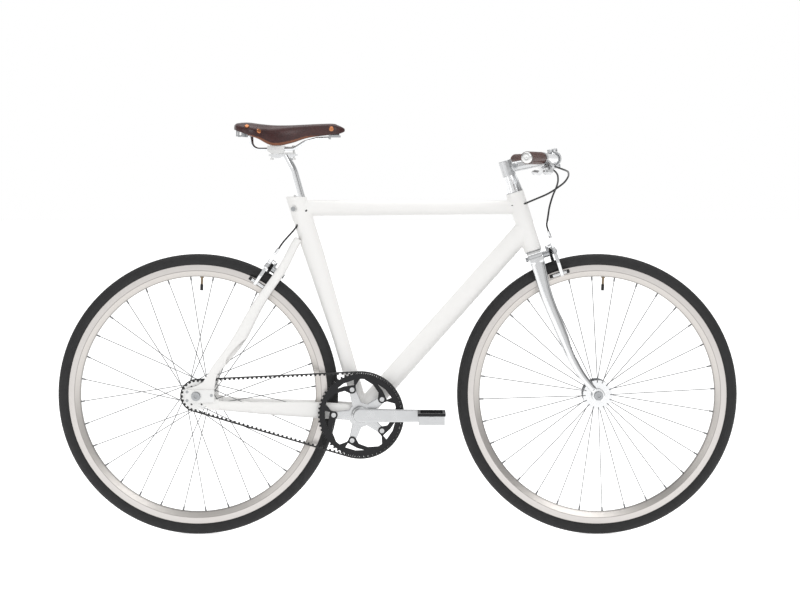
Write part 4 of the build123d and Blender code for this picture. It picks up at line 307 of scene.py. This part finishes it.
# %% Measure from a wheel's axle inside a material
def from_axle(tree, where, wheel_node):
    """The distance from the wheel's axle and the place as separate numbers, both in metres."""
    low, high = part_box(wheel_node)
    local = add_node(tree, "ShaderNodeVectorMath", settings={"operation": "SUBTRACT"}, links={0: where})
    local.inputs[1].default_value = (low + high) / 2
    parts = add_node(tree, "ShaderNodeSeparateXYZ", links={"Vector": local.outputs["Vector"]})
    flat = add_node(tree, "ShaderNodeCombineXYZ", links={"X": parts.outputs["X"], "Y": parts.outputs["Z"]})
    radius = add_node(tree, "ShaderNodeVectorMath", settings={"operation": "LENGTH"},
                      links={0: flat.outputs["Vector"]}).outputs["Value"]
    return radius, parts


# %% Moulded tyre rubber
def tyre_rubber(name, tyre_node):
    """Black rubber with moulded rings every 2.2 mm on the walls, and file marks across the tread."""
    material, tree, surface, where = start_material(name, base_color=linear("#1B1B1C"), roughness=0.7, ior=1.5)
    radius, parts = from_axle(tree, where, tyre_node)
    rings = add_node(tree, "ShaderNodeMath", settings={"operation": "MULTIPLY"}, links={0: radius})
    rings.inputs[1].default_value = 2 * math.pi / 0.0022
    wave = add_node(tree, "ShaderNodeMath", settings={"operation": "SINE"}, links={0: rings.outputs[0]})
    angle = add_node(tree, "ShaderNodeMath", settings={"operation": "ARCTAN2"},
                     links={0: parts.outputs["X"], 1: parts.outputs["Z"]})
    turns = add_node(tree, "ShaderNodeMath", settings={"operation": "MULTIPLY"}, links={0: angle.outputs[0]})
    turns.inputs[1].default_value = 540
    slant = add_node(tree, "ShaderNodeMath", settings={"operation": "MULTIPLY"}, links={0: parts.outputs["Y"]})
    slant.inputs[1].default_value = 1400
    sum_of = add_node(tree, "ShaderNodeMath", settings={"operation": "ADD"},
                      links={0: turns.outputs[0], 1: slant.outputs[0]})
    files = add_node(tree, "ShaderNodeMath", settings={"operation": "SINE"}, links={0: sum_of.outputs[0]})
    on_tread = add_node(tree, "ShaderNodeMapRange", links={"Value": radius},
                        values={"From Min": 0.3345, "From Max": 0.3375})
    pattern = add_node(tree, "ShaderNodeMix", links={0: on_tread.outputs["Result"], 2: wave.outputs[0],
                                                     3: files.outputs[0]})
    dust = add_node(tree, "ShaderNodeTexNoise", values={"Scale": 60.0, "Detail": 5.0}, links={"Vector": where})
    dusty = add_node(tree, "ShaderNodeMapRange", links={"Value": dust.outputs["Fac"]},
                     values={"To Min": 0.62, "To Max": 0.82})
    tree.links.new(dusty.outputs["Result"], surface.inputs["Roughness"])
    add_bump(tree, surface, pattern.outputs[0], 0.12)
    return material


front_rubber = tyre_rubber("front_tyre_rubber", "front_tyre")
rear_rubber = tyre_rubber("rear_tyre_rubber", "rear_tyre")
print(front_rubber.name, rear_rubber.name)

# %% [markdown]
# ## Rims and valves
# A rim is a rolled aluminium extrusion. Its sides are skimmed flat on a lathe where the brake blocks rub,
# which leaves a fine step at the inner edge of the track. Painted shade darkens a line at that step, and also the
# rim's inner and outer edges. The valve is nickel-plated brass with a black plastic cap. Both change with the
# distance from the axle, so that distance drives their colour.

# %% Rim metal with painted shade that follows the wheel
def rim_metal_and_painted_shade(name, wheel_node):
    """Silver anodised extrusion with its skimmed brake track, and painted shade: darker at the inner and outer edges
    and in a line at the track's step.
    """
    material, tree, surface, where = start_material(name, base_color=linear("#D2CECB"), metallic=1.0, roughness=0.3)
    radius, _ = from_axle(tree, where, wheel_node)
    spread = add_node(tree, "ShaderNodeMapRange", values={"From Min": 0.287, "From Max": 0.318},
                      links={"Value": radius})
    painted_shade_bands = add_node(tree, "ShaderNodeValToRGB", links={"Fac": spread.outputs["Result"]})
    # painted shade: the rim is darker at its inner edge, in a line at the brake track's step and at its outer edge
    # beside the tyre
    stops = [(0.0, "#5E5B58"), (0.05, "#8B8885"), (0.14, "#B9B5B1"), (0.46, "#BDB9B5"), (0.50, "#8B8784"),
             (0.54, "#C6C2BF"), (0.93, "#C3BFBC"), (1.0, "#7C7975")]
    ramp = painted_shade_bands.color_ramp
    while len(ramp.elements) < len(stops):
        ramp.elements.new(0.5)
    for element, (position, colour) in zip(ramp.elements, stops):
        element.position = position
        element.color = linear(colour)
    tree.links.new(painted_shade_bands.outputs["Color"], surface.inputs["Base Color"])
    rings = add_node(tree, "ShaderNodeMath", settings={"operation": "MULTIPLY"}, links={0: radius})
    rings.inputs[1].default_value = 2 * math.pi / 0.0009
    wave = add_node(tree, "ShaderNodeMath", settings={"operation": "SINE"}, links={0: rings.outputs[0]})
    add_bump(tree, surface, wave.outputs[0], 0.01)
    return material


front_rim_metal_and_painted_shade = rim_metal_and_painted_shade("front_rim_aluminium_and_painted_shade", "front_rim")
rear_rim_metal_and_painted_shade = rim_metal_and_painted_shade("rear_rim_aluminium_and_painted_shade", "rear_rim")
print(front_rim_metal_and_painted_shade.name, rear_rim_metal_and_painted_shade.name)


# %% Valve metal, cap and the rubber behind the rim
def valve_finish(name, wheel_node):
    """Black cap nearest the axle, plated stem outside it, and rubber inside the tyre."""
    material, tree, surface, where = start_material(name, base_color=linear("#8C7A62"), metallic=1.0, roughness=0.35)
    radius, _ = from_axle(tree, where, wheel_node)
    spread = add_node(tree, "ShaderNodeMapRange", values={"From Min": 0.25, "From Max": 0.31},
                      links={"Value": radius})
    hue = add_node(tree, "ShaderNodeValToRGB", settings={}, links={"Fac": spread.outputs["Result"]})
    hue.color_ramp.interpolation = "CONSTANT"
    shine = add_node(tree, "ShaderNodeValToRGB", links={"Fac": spread.outputs["Result"]})
    shine.color_ramp.interpolation = "CONSTANT"
    for ramp, levels in ((hue.color_ramp, ("#161616", "#A08F78", "#1A1A1B")),
                         (shine.color_ramp, ("#000000", "#FFFFFF", "#000000"))):
        ramp.elements.new(0.5)
        for element, position, level in zip(ramp.elements, (0.0, 0.317, 0.72), levels):
            element.position = position
            element.color = linear(level)
    tree.links.new(hue.outputs["Color"], surface.inputs["Base Color"])
    tree.links.new(shine.outputs["Color"], surface.inputs["Metallic"])
    thread = add_node(tree, "ShaderNodeMath", settings={"operation": "MULTIPLY"}, links={0: radius})
    thread.inputs[1].default_value = 2 * math.pi / 0.0008
    wave = add_node(tree, "ShaderNodeMath", settings={"operation": "SINE"}, links={0: thread.outputs[0]})
    add_bump(tree, surface, wave.outputs[0], 0.15)
    return material


front_valve = valve_finish("front_valve_brass_and_rubber", "front_rim")
rear_valve = valve_finish("rear_valve_brass_and_rubber", "rear_rim")
print(front_valve.name, rear_valve.name)

# %% Belt and inner tube rubber
belt_rubber, tree, surface, where = start_material(
    "fibre_reinforced_belt_rubber", base_color=linear("#171718"), roughness=0.55, ior=1.5)
skin = add_node(tree, "ShaderNodeTexNoise", values={"Scale": 1000 / 0.9, "Detail": 3.0}, links={"Vector": where})
add_bump(tree, surface, skin.outputs["Fac"], 0.03)
print(belt_rubber.name)

# %% [markdown]
# ## Leather
# Vegetable-tanned leather is dyed brown and waxed. Its grain is a net of tiny creases round cells about
# a millimetre across, darker in the creases, and handling polishes it unevenly.

# %% Waxed brown leather
def waxed_leather(name, colour, dark, grain_mm):
    material, tree, surface, where = start_material(name, base_color=linear(colour), roughness=0.36, ior=1.5)
    surface.inputs["Coat Weight"].default_value = 0.12
    surface.inputs["Coat Roughness"].default_value = 0.16
    cells = add_node(tree, "ShaderNodeTexVoronoi", settings={"feature": "DISTANCE_TO_EDGE"},
                     values={"Scale": 1000 / grain_mm}, links={"Vector": where})
    creases = add_node(tree, "ShaderNodeMapRange", values={"From Max": 0.16}, links={"Value": cells.outputs["Distance"]})
    stain = add_node(tree, "ShaderNodeTexNoise", values={"Scale": 38.0, "Detail": 6.0, "Roughness": 0.6},
                     links={"Vector": where})
    colours = add_node(tree, "ShaderNodeValToRGB", links={"Fac": stain.outputs["Fac"]})
    colours.color_ramp.elements[0].position, colours.color_ramp.elements[0].color = 0.30, linear(dark)
    colours.color_ramp.elements[1].position, colours.color_ramp.elements[1].color = 0.68, linear(colour)
    deep = add_node(tree, "ShaderNodeMix", settings={"data_type": "RGBA", "blend_type": "MULTIPLY"},
                    values={0: 0.35}, links={6: colours.outputs["Color"], 7: creases.outputs["Result"]})
    tree.links.new(deep.outputs[2], surface.inputs["Base Color"])
    worn = add_node(tree, "ShaderNodeMapRange", links={"Value": stain.outputs["Fac"]},
                    values={"To Min": 0.28, "To Max": 0.44})
    tree.links.new(worn.outputs["Result"], surface.inputs["Roughness"])
    add_bump(tree, surface, creases.outputs["Result"], 0.03)
    return material


saddle_leather = waxed_leather("waxed_saddle_leather", "#451C1A", "#2E1011", 1.3)
skived_leather = waxed_leather("skived_leather_edge", "#8E5537", "#74432B", 0.9)
grip_leather = waxed_leather("waxed_grip_leather", "#5A2E22", "#3E1D17", 1.1)
print(saddle_leather.name, grip_leather.name)

# %% Hammered copper and cable plastic
copper = brushed_metal("hammered_copper", "#B97B55", 0.26, 0.12, 2.0, 0.06)
cable_plastic, tree, surface, where = start_material(
    "extruded_black_nylon", base_color=linear("#141415"), roughness=0.38, ior=1.53)
draw = add_node(tree, "ShaderNodeTexNoise", values={"Scale": 400.0, "Detail": 2.0}, links={"Vector": where})
add_bump(tree, surface, draw.outputs["Fac"], 0.02)
print(copper.name, cable_plastic.name)

# %% [markdown]
# ## One skin from many solids
# On a real frame the welds are filled and sanded, so that one tube flows into the next, and a forged crank
# has no hard line between its arms. The frame's solids meet at sharp lines. Wrapping copies of them in one
# even net of small squares and then easing that net rounds each join, and leaves the tubes where they are.
# A voxel remesh is used because it joins solids that only touch, which a bevel can't do.

# %% Take a node's shells apart
def shells_of(name):
    """The node's closed shells, largest first, without the hollows inside its tubes."""
    whole = bmesh.new()
    whole.from_mesh(nodes[name].data)
    bmesh.ops.remove_doubles(whole, verts=whole.verts[:], dist=2e-6)
    seen = set()
    shells = []
    for seed in whole.faces:
        if seed in seen:
            continue
        seen.add(seed)
        shell, front = [seed], [seed]
        while front:
            for edge in front.pop().edges:
                for near in edge.link_faces:
                    if near not in seen:
                        seen.add(near)
                        shell.append(near)
                        front.append(near)
        volume = 0.0
        for face in shell:
            first = face.verts[0].co
            for a, b in zip(face.verts[1:-1], face.verts[2:]):
                volume += first.dot(a.co.cross(b.co)) / 6
        if volume <= 0:
            continue
        number = {}
        for face in shell:
            for corner in face.verts:
                number.setdefault(corner, len(number))
        points = [corner.co.copy() for corner in number]
        shells.append((volume, points, [[number[corner] for corner in face.verts] for face in shell]))
    whole.free()
    return sorted(shells, key=lambda shell: -shell[0])


print("shells of the stays", len(shells_of("seatstays")))


# %% Hang a new piece on its body
def add_piece(name, points, faces, material, body, replaced=()):
    """A mesh piece with its material, the body it moves with and the nodes it stands for."""
    mesh = bpy.data.meshes.new(name)
    mesh.from_pydata([tuple(point) for point in points], [], faces)
    mesh.materials.append(material)
    piece = bpy.data.objects.new(name, mesh)
    bpy.context.scene.collection.objects.link(piece)
    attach(piece, body)
    if replaced:
        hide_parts(*replaced)
    mesh.shade_smooth()
    return piece


# %% Keep what a piece's modifiers make
def settle(piece):
    """Makes the modifiers' result the piece's own mesh."""
    graph = bpy.context.evaluated_depsgraph_get()
    made = bpy.data.meshes.new_from_object(piece.evaluated_get(graph))
    material = piece.data.materials[0]
    piece.modifiers.clear()
    piece.data = made
    if not made.materials:
        made.materials.append(material)
    made.shade_smooth()
    return piece


# %% Wrap shells in one skin
def one_skin(name, shells, voxel_mm, rounds, material, body, replaced):
    """One even skin round the shells, eased at its joins."""
    points, faces = [], []
    for _, own_points, own_faces in shells:
        start = len(points)
        points += own_points
        faces += [[start + corner for corner in face] for face in own_faces]
    piece = add_piece(name, points, faces, material, body, replaced)
    wrap = piece.modifiers.new("even_net", "REMESH")
    wrap.mode = "VOXEL"
    wrap.voxel_size = voxel_mm / 1000
    ease = piece.modifiers.new("eased_joins", "SMOOTH")
    ease.factor = 0.5
    ease.iterations = rounds
    settle(piece)
    print(name, "faces", len(piece.data.polygons))
    return piece


# %% Fill a straight tube
def filled(name):
    """The node's outside without its bore: the tightest shape round its points."""
    hull = bmesh.new()
    for vertex in nodes[name].data.vertices:
        hull.verts.new(vertex.co)
    made = bmesh.ops.convex_hull(hull, input=hull.verts[:], use_existing_faces=False)
    spare = {item for key in ("geom_interior", "geom_unused") for item in made[key]}
    bmesh.ops.delete(hull, geom=[item for item in spare if isinstance(item, bmesh.types.BMVert)], context="VERTS")
    hull.verts.index_update()
    shell = (1.0, [vertex.co.copy() for vertex in hull.verts], [[v.index for v in face.verts] for face in hull.faces])
    hull.free()
    return shell


# %% Turn a round piece like a lathe
def lathe(start, direction, profile, around=48):
    """Points and faces of a round piece: the profile is pairs of distance along and radius, in metres."""
    axis = Vector(direction).normalized()
    side = axis.orthogonal().normalized()
    other = axis.cross(side)
    points = []
    for along, radius in profile:
        for i in range(around):
            angle = 2 * math.pi * i / around
            points.append(Vector(start) + axis * along + (side * math.cos(angle) + other * math.sin(angle)) * radius)
    faces = []
    for ring in range(len(profile) - 1):
        for i in range(around):
            j = (i + 1) % around
            faces.append([ring * around + i, ring * around + j, (ring + 1) * around + j, (ring + 1) * around + i])
    faces.append(list(range(around))[::-1])
    faces.append([(len(profile) - 1) * around + i for i in range(around)])
    return points, faces


# %% Wrap the frame
CRANK_AXIS = Vector((-0.09036, 0.0, 0.29590))
SEAT_UP = Vector((-math.cos(math.radians(74.2)), 0.0, math.sin(math.radians(74.2))))
seat_core = lathe(CRANK_AXIS + SEAT_UP * 0.030, SEAT_UP, [(0.0, 0.013), (0.080, 0.0155), (0.360, 0.0195)])
frame_shells = [filled("head_tube"), filled("top_tube"), filled("down_tube"), (1.0, *seat_core)]
for tube in ("seat_tube", "bottom_bracket_shell"):
    frame_shells += shells_of(tube)
one_skin("frame_skin", frame_shells, 1.5, 16, powder_coat, "frame",
         ("head_tube", "top_tube", "down_tube", "seat_tube", "bottom_bracket_shell"))
finish_nodes(powder_coat, "chainstays", "seatstays", "seatstay_bridge", "rear_dropouts")

# %% [markdown]
# The fork's blades go up into sockets of its crown, and the whole is polished after it is joined. Cranks,
# stem, levers and brake arms are forged, so their corners are rounded by the die.

# %% Wrap the fork and the forged pieces
one_skin("fork_skin", shells_of("fork_crown") + shells_of("fork_blades"), 1.1, 9, polished_aluminium,
         "steering_assembly", ("fork_crown", "fork_blades"))
for node, body, voxel_mm, rounds in (
    ("right_crank", "crankset", 0.9, 16), ("left_crank", "crankset", 1.0, 14),
    ("stem", "steering_assembly", 0.7, 6), ("lever_clamps", "steering_assembly", 0.6, 5),
    ("right_brake_lever", "right_lever", 0.6, 6), ("left_brake_lever", "left_lever", 0.6, 6),
):
    one_skin(node + "_skin", shells_of(node), voxel_mm, rounds, forged_aluminium, body, (node,))

# %% Wrap the brake arms and keep their rubber blocks
for node, body in (("front_brake_left_arm", "front_left_arm"), ("front_brake_right_arm", "front_right_arm"),
                   ("rear_brake_left_arm", "rear_left_arm"), ("rear_brake_right_arm", "rear_right_arm")):
    arm, block = shells_of(node)[:2]
    one_skin(node + "_skin", [arm], 0.6, 5, polished_aluminium, body, (node,))
    pad = add_piece(node + "_pad", block[1], block[2], belt_rubber, body)
    edge = pad.modifiers.new("moulded_edges", "BEVEL")
    edge.width = 0.0009
    edge.segments = 3
    settle(pad)

# %% [markdown]
# ## Pedals
# The body is a light alloy casting and the cage round it is a black toothed strip. Both have small machined
# edges, which catch the light as thin lines.

# %% Part the pedals into body and cage
for node, body in (("right_pedal", "pedal_right"), ("left_pedal", "pedal_left")):
    for part_name, shell in zip(("first", "second"), shells_of(node)):
        heights = [point.z for point in shell[1]]
        is_cage = max(heights) - min(heights) < 0.009
        piece = add_piece(node + ("_cage" if is_cage else "_body"), shell[1], shell[2],
                          black_anodised if is_cage else forged_aluminium, body,
                          (node,))
        edge = piece.modifiers.new("machined_edges", "BEVEL")
        edge.width = 0.0005
        edge.segments = 2
        edge.limit_method = "ANGLE"
        edge.angle_limit = math.radians(40)
        piece.modifiers.new("flat_faces", "WEIGHTED_NORMAL")
        print(piece.name, "faces", len(piece.data.polygons))

# %% [markdown]
# ## The saddle
# The top is one thick hide, soaked, pressed over a mould and stretched between a plate under the nose and
# one under the back. It could be sculpted, but its shape is a row of arches that change smoothly from the
# wide back to the slim nose, so it is drawn as those arches, with a curve through them. The lower edge is
# skived, that is pared thin and left paler.

# %% Draw the saddle's arches
CLAMP_X, RAIL_Z = -0.29750, 0.94386
arches = [
    # ahead of the clamp, half width, top above the rails, skirt above the rails, in millimetres
    (-100.5, 46.0, 59.6, 47.1), (-92.5, 68.0, 63.6, 44.1), (-67.5, 83.0, 65.1, 35.1),
    (-38.5, 74.0, 61.6, 24.1), (-5.5, 50.0, 58.6, 8.6), (35.5, 30.0, 58.6, 15.1),
    (77.5, 22.5, 60.6, 28.1), (135.5, 20.0, 62.6, 35.6), (151.5, 17.0, 58.6, 37.1),
    (165.0, 9.0, 52.0, 42.0), (168.0, 2.5, 48.5, 45.0),
]


def between_arches(position):
    """The arch at a position from 0 to the last arch's number, on a smooth curve through them all."""
    first = min(int(position), len(arches) - 2)
    share = position - first
    near = [arches[max(0, min(len(arches) - 1, first + offset))] for offset in (-1, 0, 1, 2)]
    values = []
    for a, b, c, d in zip(*near):
        values.append(b + 0.5 * share * (c - a + share * (2 * a - 5 * b + 4 * c - d + share * (3 * (b - c) + d - a))))
    return values


def arch_point(arch, share, inset=0.0):
    """A point of an arch, from one skirt at 0 over the top to the other at 1."""
    ahead, half, top, skirt = arch
    c, s = math.cos(math.pi * share), math.sin(math.pi * share)
    wide = math.copysign(abs(c) ** 0.62, c) * (half - inset)
    high = skirt + abs(s) ** 0.62 * (top - inset - skirt)
    return Vector((CLAMP_X + ahead / 1000, wide / 1000, RAIL_Z + high / 1000))


print("middle arch", [round(v, 1) for v in between_arches(4.5)])

# %% Press the hide
LENGTHS, ACROSS = 90, 60
hide_points, hide_faces = [], []
for row in range(LENGTHS + 1):
    arch = between_arches(row * (len(arches) - 1) / LENGTHS)
    for column in range(ACROSS + 1):
        share = column / ACROSS
        # more columns near the skirts, where the hide turns sharply
        share = 0.5 - 0.5 * math.cos(math.pi * share)
        hide_points.append(arch_point(arch, share))
for row in range(LENGTHS):
    for column in range(ACROSS):
        corner = row * (ACROSS + 1) + column
        hide_faces.append([corner, corner + 1, corner + ACROSS + 2, corner + ACROSS + 1])
hide = add_piece("saddle_hide", hide_points, hide_faces, saddle_leather, "seat_assembly",
                 ("saddle_cover",))
hide.data.materials.append(skived_leather)
for face in hide.data.polygons:
    # the pale skived band is widest beside the clamp and runs out toward the back and the nose
    ahead = face.center.x - CLAMP_X
    band = 4 * max(0.0, 1.0 - ((ahead - 0.018) / 0.086) ** 4)
    column = face.index % ACROSS
    if min(column, ACROSS - 1 - column) < band:
        face.material_index = 1
thick = hide.modifiers.new("hide_thickness", "SOLIDIFY")
thick.thickness = 0.0044
thick.offset = -1.0 if hide.data.polygons[len(hide_faces) // 2].normal.z > 0 else 1.0
thick.use_rim = True
rounded = hide.modifiers.new("pared_edge", "BEVEL")
rounded.width = 0.0012
rounded.segments = 3
rounded.limit_method = "ANGLE"
rounded.angle_limit = math.radians(50)
print("hide faces", len(hide_faces), "thickness direction", thick.offset)

# %% [markdown]
# ## The grips
# A grip of this kind is a stack of leather washers about three millimetres thick, pressed tight on the bar
# and turned smooth, so that only fine grooves show where they meet. They are turned here in the same way,
# as one profile spun round the bar.

# %% Turn the grips and the domed plugs
bar_end = Vector((0.303073, 0.300, 0.920016))
bar_out = Vector((-0.292372, 0.956305, 0.0))
WASHER, GRIP = 0.0033, 0.132
for side, name in ((-1, "right"), (1, "left")):
    end = Vector((bar_end.x, side * bar_end.y, bar_end.z))
    out = Vector((bar_out.x, side * bar_out.y, 0.0))
    profile = [(0.0, 0.0112), (0.0, 0.0146), (0.0006, 0.0150)]
    for washer in range(1, int(GRIP / WASHER)):
        at = washer * WASHER
        swell = 0.0148 + 0.0003 * math.sin(washer * 2.1)
        profile += [(at - 0.0006, swell), (at - 0.0001, 0.0143), (at + 0.0001, 0.0143), (at + 0.0006, swell)]
    profile += [(GRIP - 0.0006, 0.0150), (GRIP, 0.0146), (GRIP, 0.0112)]
    points, faces = lathe(end - out * GRIP, out, profile, 64)
    add_piece(name + "_leather_grip", points, faces, grip_leather, "steering_assembly", ("grips",))
    dome = [(0.0, 0.0090), (0.0, 0.0131), (0.0008, 0.0136), (0.0022, 0.0134), (0.0042, 0.0112), (0.0052, 0.0082),
            (0.0055, 0.0050), (0.0049, 0.0044), (0.0049, 0.0022), (0.0053, 0.0010)]
    points, faces = lathe(end + out * 0.0001, out, dome, 64)
    add_piece(name + "_domed_plug", points, faces, satin_aluminium, "steering_assembly",
              ("bar_end_plugs",))
    print(name, "washers", int(GRIP / WASHER))

# %% [markdown]
# ## Finishes of the other nodes
# The rest keeps its CAD shape and gets the finish of its real material.

# %% Give each frame node its finish
finish_nodes(mirror_aluminium, "seatpost", "headset_cone", "handlebar")
finish_nodes(polished_aluminium, "rear_hub", "front_hub")
finish_nodes(satin_aluminium, "saddle_clamp")
finish_nodes(satin_aluminium, "rear_sprocket", "axle_plates")
finish_nodes(front_rim_metal_and_painted_shade, "front_rim")
finish_nodes(rear_rim_metal_and_painted_shade, "rear_rim")
finish_nodes(spoke_wire, "front_spokes", "rear_spokes")
finish_nodes(stainless_steel, "frame_screws", "headset_bearings", "rear_axle",
             "front_axle", "rear_brake_bolt", "front_brake_bolt", "stem_bolts", "crank_spindle", "pedal_axles",
             "saddle_plates")
finish_nodes(chromed_steel, "saddle_rails")
finish_nodes(forged_aluminium, "sprocket_bolts")
finish_nodes(black_anodised, "front_sprocket", "bottom_bracket_cups")
finish_nodes(front_rubber, "front_tyre")
finish_nodes(rear_rubber, "rear_tyre")
finish_nodes(front_valve, "front_inner_tube")
finish_nodes(rear_valve, "rear_inner_tube")
finish_nodes(belt_rubber, "drive_belt")
finish_nodes(copper, "saddle_rivets")
finish_nodes(cable_plastic, "front_brake_cable", "rear_brake_cable")

# %% Set the view
bpy.context.scene.view_settings.view_transform = "Standard"
